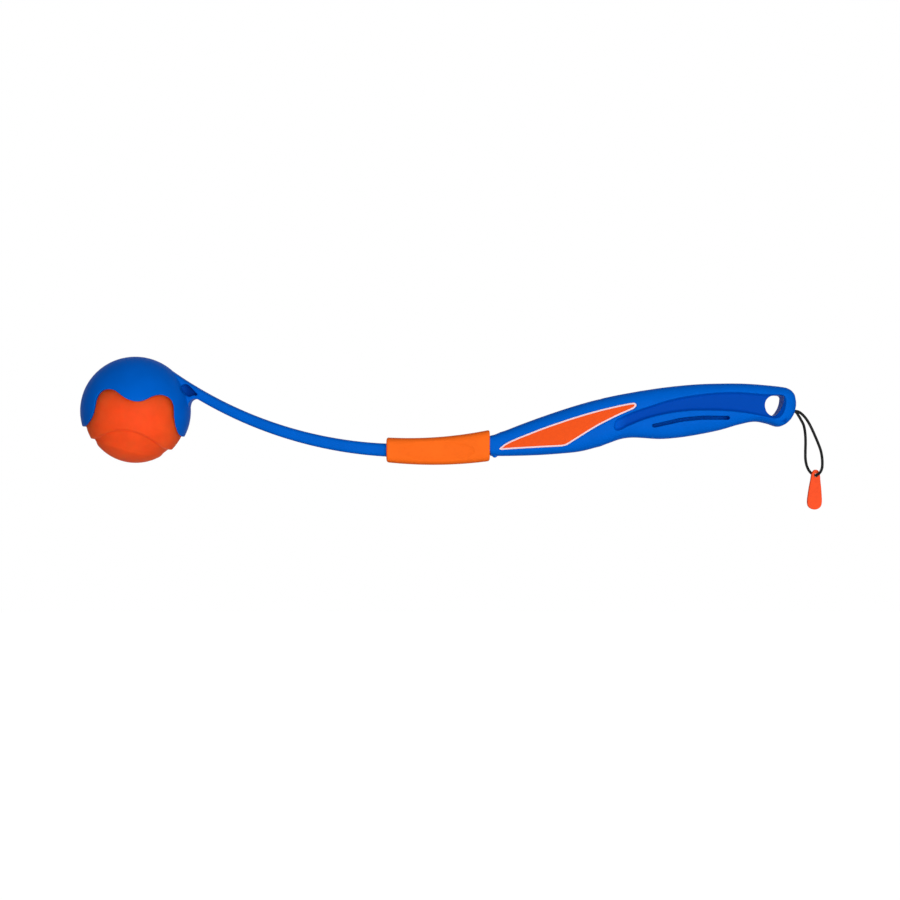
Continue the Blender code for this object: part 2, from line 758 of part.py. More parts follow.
def build_sleeve():
    right = NOSE.x - SEAT_GAP
    left = right - SLEEVE_LENGTH
    cavity_top = -ARM_DEPTH_AT_FOLD / 2 - SLEEVE_FIT
    floor_left = ARM_DEPTH_AT_FOLD / 2 + SLEEVE_FIT
    floor_at_pivot = PIVOT_DROP + KNUCKLE_RADIUS + SWING_GAP
    pivot_share = (PIVOT.x - left) / SLEEVE_LENGTH
    floor_right = floor_left + (floor_at_pivot - floor_left) / pivot_share

    inner_half = ARM_WIDTH_AT_FOLD / 2 + SLEEVE_FIT
    outer_half = HANDLE_WIDTH / 2 - SLEEVE_SETBACK
    ends = [(left, SLEEVE_EDGE), (left + SLEEVE_EDGE / 4, SLEEVE_EDGE / 2)]
    ends += [(left + (right - left) * step / SLEEVE_RINGS, 0.0) for step in range(1, SLEEVE_RINGS)]
    ends += [(right - SLEEVE_EDGE / 4, SLEEVE_EDGE / 2), (right, SLEEVE_EDGE)]
    ends.insert(2, (left + SLEEVE_EDGE, 0.0))
    ends.insert(-2, (right - SLEEVE_EDGE, 0.0))
    outside = sleeve_rings(
        (left, cavity_top - SLEEVE_TOP_WALLS[0], floor_left + SLEEVE_FLOOR_WALLS[0]),
        (right, cavity_top - SLEEVE_TOP_WALLS[1], floor_right + SLEEVE_FLOOR_WALLS[1]),
        ends, SLEEVE_SQUARENESS, outer_half,
    )
    sleeve = place(loft("lock_sleeve", outside), SLEEVE_ORANGE, ARC_CENTRE.copy())

    long_ends = [(left - OVERRUN, 0.0)]
    long_ends += [(left + (right - left) * step / SLEEVE_RINGS, 0.0) for step in range(SLEEVE_RINGS + 1)]
    long_ends += [(right + OVERRUN, 0.0)]
    inside = sleeve_rings(
        (left, cavity_top, floor_left),
        (right, cavity_top, floor_right),
        long_ends, CAVITY_SQUARENESS, inner_half,
    )
    boolean(sleeve, place(loft("sleeve_cavity", inside)))

    middle = (left + right) / 2
    for side in (-1, 1):
        centre = Vector((middle, side * outer_half, arc_height(middle, DIMPLE_DROP)))
        size = Matrix.Diagonal((DIMPLE_LENGTH / 2, DIMPLE_DEPTH, DIMPLE_HEIGHT / 2, 1))
        place_and_size = Matrix.Translation(centre) @ size
        shape = bmesh.new()
        bmesh.ops.create_uvsphere(shape, u_segments=24, v_segments=12, radius=1, matrix=place_and_size)
        boolean(sleeve, place(from_bmesh(f"dimple_{side}", shape)))


def step_up(value):
    """A smooth step from 0 to 1, one step width wide."""
    t = min(1.0, max(0.0, value * BALL_RADIUS / BALL_STEP_WIDTH + 0.5))
    return t * t * (3 - 2 * t)


def seam_height(shares, turn):
    return sum(share * math.cos(order * turn) for order, share in enumerate(shares))


def build_ball():
    shape = bmesh.new()
    bmesh.ops.create_uvsphere(shape, u_segments=44, v_segments=30, radius=1)
    for point in shape.verts:
        turn = math.atan2(point.co.y, point.co.x)
        above = step_up(point.co.z - seam_height(UPPER_SEAM_SHARES, turn))
        below = step_up(seam_height(LOWER_SEAM_SHARES, turn) - point.co.z)
        sunk = BALL_CHANNEL_DEPTH * (1 - above) * (1 - below) + BALL_CAP_DEPTH * below
        point.co = BALL_CENTRE + point.co.normalized() * (BALL_RADIUS - sunk)
    ball = place(from_bmesh("ball", shape), BALL_ORANGE, BALL_CENTRE.copy())
    inner = BALL_RADIUS - BALL_WALL
    boolean(ball, place(sphere("ball_hollow", BALL_CENTRE, inner, 20, 12)))
    vent = bmesh.new()
    bmesh.ops.create_cone(
        vent, cap_ends=True, segments=12, radius1=BALL_VENT_RADIUS, radius2=BALL_VENT_RADIUS,
        depth=LONG_OVERRUN, matrix=Matrix.Translation(BALL_CENTRE + Vector((0, 0, inner))),
    )
    boolean(ball, place(from_bmesh("ball_vent", vent)))


def smooth_route(route):
    """Points about one step apart on a smooth curve through the route's own points."""
    points = [Vector(point) for point in route]
    line = []
    for i in range(len(points) - 1):
        before, after = points[max(i - 1, 0)], points[min(i + 2, len(points) - 1)]
        left, right = points[i], points[i + 1]
        pieces = max(1, round((right - left).length / CORD_STEP))
        for step in range(pieces):
            t = step / pieces
            bend = right - before + t * (2 * before - 5 * left + 4 * right - after)
            bend += t * t * (3 * left - before - 3 * right + after)
            line.append(left + t * bend / 2)
    return [*line, points[-1]]


def build_cord():
    line = smooth_route(CORD_ROUTE)
    curve = bpy.data.curves.new("elastic_cord", "CURVE")
    curve.dimensions = "3D"
    curve.bevel_depth = CORD_DIAMETER / 2
    curve.bevel_resolution = 2
    curve.use_fill_caps = True
    spline = curve.splines.new("POLY")
    spline.points.add(len(line) - 1)
    for knot, point in zip(spline.points, line):
        knot.co = (*(point - ANCHOR), 1)
    curve.materials.append(CORD_BLACK)
    cord = bpy.data.objects.new("elastic_cord", curve)
    cord.location = ANCHOR
    PARTS.objects.link(cord)
    print("cord length", round(sum((b - a).length for a, b in zip(line, line[1:])), 4))


def build_anchor():
    place(end_bar("cord_anchor", ANCHOR_RADIUS, ANCHOR.x - ANCHOR_LENGTH, ANCHOR.x), ANCHOR_BLACK)


def build_tab():
    along = Vector((-math.sin(TAB_LEAN), 0, -math.cos(TAB_LEAN)))
    across = Vector((-along.z, 0, along.x))
    top = TAB_HOLE - TAB_HOLE_FROM_TOP * along
    sides = {-1: [], 1: []}
    for down, half in TAB_HALF_WIDTH_SHARES:
        for side, points in sides.items():
            points.append(top + TAB_LENGTH * (side * half * across + down * along))
    outline = sides[1] + sides[-1][::-1]
    tab = place(prism("pull_tab", outline, -TAB_THICKNESS / 2, TAB_THICKNESS / 2), TAB_ORANGE, TAB_HOLE)
    boolean(tab, place(cross_rod("tab_hole", TAB_HOLE, TAB_HOLE_RADIUS, -TAB_THICKNESS, TAB_THICKNESS, 24)))


def pivot_empty(name, point, child_names, parent=None):
    """An empty on a joint's axis that carries the pieces that turn or slide there."""
    empty = bpy.data.objects.new(name, None)
    empty.location = point
    empty.empty_display_size = KNUCKLE_SPAN
    PARTS.objects.link(empty)
    bpy.context.view_layer.update()
    for child_name in child_names:
        child = bpy.data.objects[child_name]
        child.parent = empty
        child.matrix_parent_inverse = empty.matrix_world.inverted()
    if parent:
        empty.parent = bpy.data.objects[parent]
        empty.matrix_parent_inverse = bpy.data.objects[parent].matrix_world.inverted()


build_handle()
build_pin()
build_labels()
build_arm()
build_sleeve()
build_ball()
build_anchor()
build_cord()
build_tab()
pivot_empty("fold_axis", PIVOT, ["launcher_arm"])
pivot_empty("sleeve_slide_centre", ARC_CENTRE, ["lock_sleeve"], "fold_axis")
pivot_empty("ball_seat", BALL_CENTRE, ["ball"], "fold_axis")
pivot_empty("cord_exit", ANCHOR, ["elastic_cord"])
pivot_empty("tab_hole_axis", TAB_HOLE, ["pull_tab"], "cord_exit")
bpy.context.view_layer.update()
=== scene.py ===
"""Looks of a fold-up dog ball thrower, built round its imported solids.

Lengths are metres. +X runs along the thrower to the handle's end, +Z is up, and the side in view faces -Y.
Handle, arm, sleeve and tab are built sharp, then each is given one closed skin with eased edges, like those
that a mould leaves. Ball, labels and cord keep the faces that they are built with.
"""

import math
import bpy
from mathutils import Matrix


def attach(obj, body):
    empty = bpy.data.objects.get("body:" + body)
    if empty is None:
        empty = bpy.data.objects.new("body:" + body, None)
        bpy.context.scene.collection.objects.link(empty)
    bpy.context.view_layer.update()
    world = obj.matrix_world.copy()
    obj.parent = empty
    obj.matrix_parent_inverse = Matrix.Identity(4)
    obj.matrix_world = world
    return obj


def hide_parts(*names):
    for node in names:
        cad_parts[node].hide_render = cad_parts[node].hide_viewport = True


bl_info = {
    "name": "Dog Ball Thrower",
    "version": (1, 0, 0),
    "blender": (4, 5, 0),
    "location": "3D View > Sidebar > Thrower",
    "description": "Builds a fold-up dog ball thrower with its ball, wrist loop and pull tab",
    "category": "Add Mesh",
}

import bmesh
import bpy
from bpy.props import FloatProperty, FloatVectorProperty, IntProperty, PointerProperty
from mathutils import Matrix, Vector

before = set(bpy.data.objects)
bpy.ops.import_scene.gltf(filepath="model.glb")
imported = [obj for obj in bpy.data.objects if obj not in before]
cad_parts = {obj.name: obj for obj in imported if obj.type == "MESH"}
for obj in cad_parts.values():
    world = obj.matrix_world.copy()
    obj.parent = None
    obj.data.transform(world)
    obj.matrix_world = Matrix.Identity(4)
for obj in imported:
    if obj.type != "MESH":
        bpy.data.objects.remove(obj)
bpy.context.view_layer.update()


def linear(code):
    """An sRGB hex colour as linear red, green and blue."""
    channels = [int(code[i : i + 2], 16) / 255 for i in (1, 3, 5)]
    return tuple(c / 12.92 if c <= 0.04045 else ((c + 0.055) / 1.055) ** 2.4 for c in channels)


UP = Vector((0, 0, 1))

# Gaps between pieces, and how far a cutter runs past what it cuts
SEAT_GAP = 0.0003
SWING_GAP = 0.0004
OVERRUN = 0.0020
LONG_OVERRUN = 0.0200

# Handle
HANDLE_LENGTH = 0.1953
HANDLE_RISE = 0.0463
HANDLE_WIDTH = 0.0220
NOSE = Vector((-0.1280, 0, -0.0201))
NOSE_TILT = math.radians(11.83)
HANDLE_SQUARENESS = 3.2

# Length share from the nose, top and bottom as shares of the rise, and width share
HANDLE_STATION_SHARES = (
    (0.000, 0.086, -0.193, 0.70),
    (0.033, 0.134, -0.196, 0.74),
    (0.098, 0.236, -0.192, 0.82),
    (0.164, 0.338, -0.182, 0.88),
    (0.229, 0.432, -0.163, 0.93),
    (0.295, 0.519, -0.133, 0.96),
    (0.361, 0.591, -0.064, 0.98),
    (0.393, 0.624, -0.012, 0.99),
    (0.426, 0.653, 0.036, 1.00),
    (0.459, 0.678, 0.057, 1.00),
    (0.492, 0.704, 0.055, 1.00),
    (0.557, 0.744, 0.039, 1.00),
    (0.623, 0.776, 0.061, 1.00),
    (0.688, 0.797, 0.105, 0.99),
    (0.754, 0.805, 0.164, 0.97),
    (0.819, 0.805, 0.242, 0.95),
    (0.869, 0.794, 0.278, 0.94),
    (0.910, 0.779, 0.247, 0.93),
    (0.942, 0.765, 0.207, 0.91),
    (0.967, 0.748, 0.247, 0.85),
    (0.983, 0.715, 0.312, 0.74),
    (0.994, 0.662, 0.392, 0.56),
    (1.000, 0.579, 0.480, 0.30),
)

# Outlines on the handle's sides, as shares of its length and rise from the nose
CHANNEL_OUTLINE_SHARES = (
    (0.402, 0.196),
    (0.406, 0.283),
    (0.427, 0.342),
    (0.456, 0.397),
    (0.522, 0.494),
    (0.587, 0.578),
    (0.652, 0.631),
    (0.726, 0.669),
    (0.796, 0.680),
    (0.865, 0.660),
    (0.904, 0.651),
    (0.932, 0.652),
    (0.950, 0.644),
    (0.958, 0.610),
    (0.9605, 0.560),
    (0.959, 0.495),
    (0.954, 0.420),
    (0.945, 0.357),
    (0.934, 0.325),
    (0.920, 0.318),
    (0.902, 0.335),
    (0.865, 0.367),
    (0.819, 0.402),
    (0.759, 0.425),
    (0.680, 0.431),
    (0.633, 0.421),
    (0.564, 0.378),
    (0.508, 0.318),
    (0.448, 0.220),
    (0.419, 0.162),
    (0.406, 0.161),
)
HANGING_HOLE_SHARES = (
    (0.929, 0.640),
    (0.914, 0.628),
    (0.904, 0.602),
    (0.897, 0.563),
    (0.894, 0.508),
    (0.896, 0.450),
    (0.903, 0.394),
    (0.913, 0.363),
    (0.923, 0.352),
    (0.932, 0.371),
    (0.942, 0.421),
    (0.951, 0.498),
    (0.955, 0.570),
    (0.955, 0.625),
    (0.945, 0.640),
)
LABEL_OUTLINE_SHARES = (
    (0.029, -0.101),
    (0.030, -0.087),
    (0.046, -0.032),
    (0.064, 0.010),
    (0.096, 0.068),
    (0.129, 0.122),
    (0.161, 0.176),
    (0.193, 0.225),
    (0.226, 0.272),
    (0.258, 0.318),
    (0.291, 0.361),
    (0.323, 0.401),
    (0.355, 0.438),
    (0.388, 0.471),
    (0.420, 0.502),
    (0.453, 0.529),
    (0.466, 0.534),
    (0.473, 0.517),
    (0.473, 0.487),
    (0.466, 0.457),
    (0.453, 0.430),
    (0.420, 0.370),
    (0.388, 0.304),
    (0.355, 0.233),
    (0.323, 0.154),
    (0.291, 0.069),
    (0.258, -0.020),
    (0.247, -0.048),
    (0.232, -0.063),
    (0.193, -0.071),
    (0.161, -0.078),
    (0.096, -0.093),
    (0.064, -0.102),
    (0.035, -0.111),
)
SLOT_LINE_SHARES = (
    (0.530, 0.221),
    (0.566, 0.253),
    (0.615, 0.298),
    (0.680, 0.327),
    (0.728, 0.330),
    (0.777, 0.327),
)
CHANNEL_WEB = 0.0150
CHANNEL_DRAFT = 0.0013
SLOT_WIDTH = 0.0023
SLOT_WEB = 0.0050
SLOT_PIECES = 30
LABEL_THICKNESS = 0.0006
NUB_RADIUS = 0.0015
NUB_LENGTH = 0.0080
NUB_PLACE_SHARES = (0.0154, -0.187)

# Where painted shade darkens the channels' floor: from start to end along X, and as far as its reach above
# and below a middle line, whose height follows X as a parabola with these three factors
CHANNEL_START = -0.0510
CHANNEL_END = 0.0597
CHANNEL_MIDDLE = (-3.126, 0.1264, 0.0042)
CHANNEL_REACH = 0.0080

# Arm
BEND_RADIUS = 0.26125
ARM_DEPTH_AT_FOLD = 0.0084
ARM_DEPTH_AT_CUP = 0.0062
ARM_WIDTH_AT_FOLD = 0.0150
ARM_WIDTH_AT_CUP = 0.0120
ARM_SQUARENESS = 4.0
ARM_LENGTH = 0.21926
ARM_TAPER_LENGTH = 0.1500

# Fold hinge
FOLD_FROM_NOSE = 0.0152
PIVOT_DROP = ARM_DEPTH_AT_FOLD / 2 + 0.0016
KNUCKLE_RADIUS = 0.0021
KNUCKLE_SPAN = 0.0126
CENTRE_KNUCKLE = 0.0042
PIN_RADIUS = 0.0009
NECK_REACH = 0.0026
TONGUE_BELOW_PIVOT = 0.0010
TONGUE_BELOW_TOP = 0.0005
TONGUE_ROOT = 0.0040

# Lock sleeve; its walls above and below the arm at the cup's end and at the handle's
SLEEVE_LENGTH = 0.0657
SLEEVE_FIT = 0.0004
SLEEVE_TOP_WALLS = (0.0035, 0.0030)
SLEEVE_FLOOR_WALLS = (0.0032, 0.0027)
SLEEVE_SETBACK = 0.0003
SLEEVE_EDGE = 0.0012
SLEEVE_SQUARENESS = 4.0
CAVITY_SQUARENESS = 6.0
DIMPLE_LENGTH = 0.0462
DIMPLE_HEIGHT = 0.0136
DIMPLE_DEPTH = 0.0015
DIMPLE_DROP = 0.0012

# Ball and its cup
BALL_RADIUS = 0.03187
BALL_CHANNEL_DEPTH = 0.0018
BALL_CAP_DEPTH = 0.0010
BALL_STEP_WIDTHS = (0.0022, 0.0044)
CUP_DROP = 0.0314
CUP_WALL = 0.0026
CROWN_EXTRA = 0.0023
FILLET_RADIUS = 0.0040
POCKET_WEB = 0.0030
POCKET_SETBACK = 0.0035
POCKET_HIGH_ANGLE = math.radians(28.0)
POCKET_LOW_ANGLE = math.radians(15.0)

# Where painted shade darkens the pockets' floor, along X from the cup's centre as shares of its inner
# radius
POCKET_START_SHARE = 0.75
POCKET_END_SHARE = 2.00

# The painted shade on a recess floor begins at the first value and is full at the second: for how high the
# surface lies over the floor, and for how squarely it faces the side
SHADE_CLIMB = (0.0015, 0.0009)
SHADE_FACING = (0.45, 0.65)

# How far that colour fades out past the floor's edge, and fades in from its start
SHADE_FADE_OUT = 0.0010
SHADE_FADE_IN = 0.0100

# The ball's two seam lines, as cosine terms of height over radius round the ball
UPPER_SEAM_SHARES = (-0.505, -0.108, -0.138, -0.003, 0.032)
LOWER_SEAM_SHARES = (-0.716, -0.142, 0.008, 0.023, -0.016)

# The cup's wavy edge in side view, as shares of its outer radius from its centre
CUP_EDGE_SHARES = (
    (-1.150, -0.293),
    (-0.874, -0.288),
    (-0.805, -0.272),
    (-0.742, -0.232),
    (-0.642, -0.125),
    (-0.583, 0.030),
    (-0.552, 0.186),
    (-0.509, 0.280),
    (-0.437, 0.347),
    (-0.327, 0.371),
    (-0.214, 0.353),
    (-0.140, 0.309),
    (-0.048, 0.241),
    (0.039, 0.190),
    (0.140, 0.156),
    (0.205, 0.148),
    (0.286, 0.158),
    (0.365, 0.191),
    (0.442, 0.236),
    (0.518, 0.264),
    (0.592, 0.273),
    (0.667, 0.255),
    (0.743, 0.201),
    (0.786, 0.113),
    (0.801, -0.006),
    (0.803, -0.140),
    (0.808, -0.247),
    (0.823, -0.348),
    (0.849, -0.455),
    (0.878, -0.482),
    (1.150, -0.484),
    (1.150, -1.150),
    (-1.150, -1.150),
)

# Wrist loop and pull tab
ANCHOR = Vector((0.065347, 0, -0.000469))
ANCHOR_RADIUS = 0.0021
ANCHOR_LENGTH = 0.0042
CORD_STEP = 0.0018
BRAID_STEP = 0.00022
BRAID_SIDES = 36
BRAID_PITCH = 0.0062
BRAID_DEPTH_SHARE = 0.010
TAB_LENGTH = 0.0254
TAB_THICKNESS = 0.0026
TAB_HOLE_RADIUS = 0.0013
TAB_HOLE_EASING = 0.0002
TAB_HOLE_FROM_TOP = 0.0035
TAB_HOLE = Vector((0.0803, 0, -0.0415))
TAB_LEAN = math.radians(2.5)
TAB_HALF_WIDTH_SHARES = (
    (0.000, 0.030),
    (0.030, 0.067),
    (0.096, 0.097),
    (0.280, 0.125),
    (0.460, 0.152),
    (0.650, 0.173),
    (0.750, 0.182),
    (0.830, 0.181),
    (0.905, 0.164),
    (0.956, 0.125),
    (0.988, 0.070),
    (1.000, 0.020),
)

# The loop's route from the anchor, behind the tab, through its hole and back
CORD_ROUTE = (
    (0.0656, 0.0010, -0.0005),
    (0.0673, 0.0010, -0.0006),
    (0.0686, 0.0010, -0.0016),
    (0.0698, 0.0011, -0.0034),
    (0.0712, 0.0012, -0.0058),
    (0.0729, 0.0014, -0.0090),
    (0.0738, 0.0017, -0.0125),
    (0.0743, 0.0020, -0.0165),
    (0.0745, 0.0024, -0.0210),
    (0.0745, 0.0029, -0.0260),
    (0.0747, 0.0036, -0.0308),
    (0.0755, 0.0043, -0.0347),
    (0.0769, 0.0047, -0.0380),
    (0.0786, 0.0044, -0.0402),
    (0.0799, 0.0030, -0.0413),
    (0.0802, 0.0013, -0.0415),
    (0.0804, -0.0013, -0.0415),
    (0.0809, -0.0030, -0.0411),
    (0.0822, -0.0044, -0.0396),
    (0.0833, -0.0047, -0.0370),
    (0.0837, -0.0042, -0.0338),
    (0.0836, -0.0036, -0.0298),
    (0.0830, -0.0030, -0.0258),
    (0.0816, -0.0025, -0.0215),
    (0.0796, -0.0021, -0.0165),
    (0.0773, -0.0017, -0.0112),
    (0.0751, -0.0014, -0.0070),
    (0.0727, -0.0012, -0.0037),
    (0.0700, -0.0010, -0.0013),
    (0.0678, -0.0010, -0.0005),
    (0.0656, -0.0010, -0.0005),
)

# How finely the sharp shapes are drawn before they get their skin
RING_POINTS = 96
HANDLE_RINGS_PER_STATION = 6
ARM_RINGS = 110
SLEEVE_RINGS = 48
OUTLINE_DETAIL = 10
INSIDE_STEP = 0.0010
WELD_DISTANCE = 0.00001

# A corner of a widened outline moves out by at most the margin over the first share. A line inside an
# outline keeps at least the second share of its margin. A label's edges that turn by more stay sharp
CORNER_SHARE = 0.45
INSIDE_SHARE = 0.97
SHARP_ANGLE = math.radians(40)

# Where in its uneven pattern a mottled colour is deepest and palest
MOTTLE_STOPS = (0.35, 0.65)

# Camera and stage. The surroundings cast a little light, but look white
VIEW_CENTRE = Vector((-0.1536, 0, -0.0253))
CAMERA_DISTANCE = 1.0
CAMERA_LENS = 62.5
CAMERA_REACH = 20.0
FLOOR_DROP = 0.52
FLOOR_SIZE = 8.0
PAPER_GLOW = 1.24
PAPER_GLOW_SHARE = 0.8
SURROUNDING_LIGHT = 0.27
SURROUNDING_WHITE = 1.0

# Each lamp's name, place, size and power in watts
LAMPS = (
    ("key_lamp", (0.15, -1.30, 0.06), 1.1, 14.0),
    ("low_lamp", (-0.12, -0.80, -0.42), 0.7, 2.5),
    ("top_lamp", (-0.05, 0.15, 1.20), 1.2, 0.6),
)


class ThrowerLooks(bpy.types.PropertyGroup):
    """Colours, fine widths and fineness of the thrower."""

    blue: FloatVectorProperty(
        name="Blue", description="Moulded colour of the handle and the arm",
        subtype="COLOR", default=linear("#005CC4"), min=0, max=1,
    )
    # Painted shade: a darker blue laid on the floor of the handle's side channels, standing in for the
    # shade there
    recess: FloatVectorProperty(
        name="Channel blue", description="Colour of the etched floor in the handle's side channels",
        subtype="COLOR", default=linear("#0045A9"), min=0, max=1,
    )
    # Painted shade: a darker blue laid on the floor of the pockets beside the cup, standing in for the
    # shade there
    pocket: FloatVectorProperty(
        name="Pocket blue", description="Colour of the floor in the pockets beside the cup",
        subtype="COLOR", default=linear("#003488"), min=0, max=1,
    )
    orange: FloatVectorProperty(
        name="Sleeve orange", description="Moulded colour of the lock sleeve",
        subtype="COLOR", default=linear("#F4691C"), min=0, max=1,
    )
    ball: FloatVectorProperty(
        name="Ball orange", description="Colour of the ball's rubber",
        subtype="COLOR", default=linear("#F9521F"), min=0, max=1,
    )
    label: FloatVectorProperty(
        name="Label orange", description="Printed colour of the labels",
        subtype="COLOR", default=linear("#E74F13"), min=0, max=1,
    )
    rim: FloatVectorProperty(
        name="Label rim", description="Printed colour of the line round each label",
        subtype="COLOR", default=linear("#E6CACF"), min=0, max=1,
    )
    tab: FloatVectorProperty(
        name="Tab orange", description="Moulded colour of the pull tab",
        subtype="COLOR", default=linear("#EF4E22"), min=0, max=1,
    )
    skin: FloatProperty(
        name="Skin fineness", description="Size of the faces in a moulded piece's skin",
        subtype="DISTANCE", default=0.00045, min=0.0002, max=0.0020, precision=5,
    )
    rim_width: FloatProperty(
        name="Label rim width", description="Width of the pale line round each label",
        subtype="DISTANCE", default=0.00095, min=0.0003, max=0.0030, precision=5,
    )
    cord_diameter: FloatProperty(
        name="Cord diameter", description="Thickness of the wrist loop's elastic",
        subtype="DISTANCE", default=0.00175, min=0.0010, max=0.0030, precision=5,
    )
    strands: IntProperty(
        name="Cord strands", description="Strands each way in the braid of the wrist loop",
        default=6, min=3, max=12,
    )


def looks():
    return bpy.context.scene.thrower_looks


# Places that follow from the arc of the arm


def arc_point(run, drop=0.0):
    """The point run along the arm from the nose, and drop below the arm's centre line."""
    angle = NOSE_TILT - run / BEND_RADIUS
    return ARC_CENTRE + (BEND_RADIUS + drop) * Vector((math.sin(angle), 0, -math.cos(angle)))


def arc_height(x, drop):
    """The height at x of the arc that lies drop below the arm's centre line."""
    return ARC_CENTRE.z - math.sqrt((BEND_RADIUS + drop) ** 2 - (x - ARC_CENTRE.x) ** 2)


def handle_point(shares):
    return NOSE + Vector((HANDLE_LENGTH * shares[0], 0, HANDLE_RISE * shares[1]))


ARC_CENTRE = NOSE + BEND_RADIUS * Vector((-math.sin(NOSE_TILT), 0, math.cos(NOSE_TILT)))
CUP_INNER_RADIUS = BALL_RADIUS + SEAT_GAP
CUP_OUTER_RADIUS = CUP_INNER_RADIUS + CUP_WALL
PIVOT = arc_point(FOLD_FROM_NOSE, PIVOT_DROP)
CUP_CENTRE = arc_point(ARM_LENGTH, CUP_DROP)
BALL_CENTRE = CUP_CENTRE - Vector((0, 0, CROWN_EXTRA))


# Shapes


def link(name, data):
    made = bpy.data.objects.new(name, data)
    bpy.context.scene.collection.objects.link(made)
    return made


def from_bmesh(name, shape):
    bmesh.ops.recalc_face_normals(shape, faces=shape.faces)
    mesh = bpy.data.meshes.new(name)
    shape.to_mesh(mesh)
    shape.free()
    return link(name, mesh)


def section(point, up, half_width, half_height, squareness):
    """A closed section across the piece, round a point: an ellipse at squareness 2, and fuller above."""
    power = 2 / squareness
    ring = []
    for step in range(RING_POINTS):
        turn = 2 * math.pi * (step + 0.5) / RING_POINTS
        across, high = math.cos(turn), math.sin(turn)
        across = math.copysign(abs(across) ** power, across) * half_width
        high = math.copysign(abs(high) ** power, high) * half_height
        ring.append(point + Vector((0, across, 0)) + up * high)
    return ring


def loft(name, rings):
    """A closed solid through sections with the same number of points."""
    shape = bmesh.new()
    rows = [[shape.verts.new(point) for point in ring] for ring in rings]
    for row, following in zip(rows, rows[1:]):
        for step in range(len(row)):
            after = (step + 1) % len(row)
            shape.faces.new((row[step], row[after], following[after], following[step]))
    shape.faces.new(rows[0])
    shape.faces.new(rows[-1])
    return from_bmesh(name, shape)


def finished_mesh(piece):
    """The mesh that a piece's curve or its modifiers give."""
    return bpy.data.meshes.new_from_object(piece.evaluated_get(bpy.context.evaluated_depsgraph_get()))


def prism(name, outline, low, high, smooth=True, draft=0.0):
    """A flat outline in the side view, extruded across from y low to y high.

    Draft is the width of the slope that runs round each of its two ends.
    """
    curve = bpy.data.curves.new(name, "CURVE")
    curve.dimensions = "2D"
    curve.fill_mode = "BOTH"
    curve.extrude = (high - low) / 2 - draft
    curve.bevel_depth = draft
    curve.bevel_resolution = 0
    curve.offset = -draft
    curve.resolution_u = OUTLINE_DETAIL
    spline = curve.splines.new("BEZIER")
    spline.bezier_points.add(len(outline) - 1)
    for knot, point in zip(spline.bezier_points, outline):
        knot.co = (point.x, point.z, 0)
        kind = "AUTO" if smooth else "VECTOR"
        knot.handle_left_type = kind
        knot.handle_right_type = kind
    spline.use_cyclic_u = True
    guide = link(name + "_guide", curve)
    mesh = finished_mesh(guide)
    bpy.data.objects.remove(guide)
    mesh.transform(
        Matrix.Translation((0, (high + low) / 2, 0)) @ Matrix.Rotation(math.pi / 2, 4, "X")
    )
    shape = bmesh.new()
    shape.from_mesh(mesh)
    bmesh.ops.remove_doubles(shape, verts=shape.verts, dist=WELD_DISTANCE)
    return from_bmesh(name, shape)


def rod(name, centre, radius, length, along, sides=64):
    """A round bar round a centre, along Y, X or Z."""
    turn = {
        "X": Matrix.Rotation(math.pi / 2, 4, "Y"),
        "Y": Matrix.Rotation(math.pi / 2, 4, "X"),
        "Z": Matrix.Identity(4),
    }[along]
    shape = bmesh.new()
    bmesh.ops.create_cone(
        shape, cap_ends=True, segments=sides, radius1=radius, radius2=radius, depth=length,
        matrix=Matrix.Translation(centre) @ turn,
    )
    return from_bmesh(name, shape)


def ellipsoid(name, centre, half_sizes, sides=160, rows=96):
    shape = bmesh.new()
    bmesh.ops.create_uvsphere(
        shape, u_segments=sides, v_segments=rows, radius=1,
        matrix=Matrix.Translation(centre) @ Matrix.Diagonal((*half_sizes, 1)),
    )
    return from_bmesh(name, shape)


def curve_between(before, left, right, after, t):
    """What lies t of the way from left to right on a smooth curve; the outer two set how it bends."""
    bend = 2 * before - 5 * left + 4 * right - after + t * (3 * left - before - 3 * right + after)
    return left + t * (right - before + t * bend) / 2


def smooth_between(rows, share):
    """Smooth values at share along a list of rows whose first entry is the share."""
    rows = [rows[0], *rows, rows[-1]]
    for before, left, right, after in zip(rows, rows[1:], rows[2:], rows[3:]):
        if left[0] <= share <= right[0] and left[0] < right[0]:
            t = (share - left[0]) / (right[0] - left[0])
            columns = list(zip(before, left, right, after))[1:]
            return [curve_between(*column, t) for column in columns]
    return list(rows[-1][1:])


def grown(outline, margin):
    """The same outline, margin wider all round, with its corners kept."""
    wider = []
    for i, point in enumerate(outline):
        before = (point - outline[i - 1]).normalized()
        after = (outline[(i + 1) % len(outline)] - point).normalized()
        along = (before + after).normalized()
        corner = max(CORNER_SHARE, along.dot(after))
        wider.append(point + Vector((-along.z, 0, along.x)) * margin / corner)
    return wider


def drawn_in(outline, margin):
    """A line that runs margin inside an outline, left out where the outline is too narrow for it."""
    fine = []
    for start, end in zip(outline, [*outline[1:], outline[0]]):
        pieces = max(1, round((end - start).length / INSIDE_STEP))
        fine += [start.lerp(end, step / pieces) for step in range(pieces)]
    kept = []
    for point in grown(fine, -margin):
        inside = min((point - other).length for other in fine) > INSIDE_SHARE * margin
        if inside and (not kept or (point - kept[-1]).length > INSIDE_STEP / 2):
            kept.append(point)
    return kept


def carve(target, cutter, operation="DIFFERENCE"):
    modifier = target.modifiers.new(cutter.name, "BOOLEAN")
    modifier.object = cutter
    modifier.operation = operation
    modifier.solver = "EXACT"


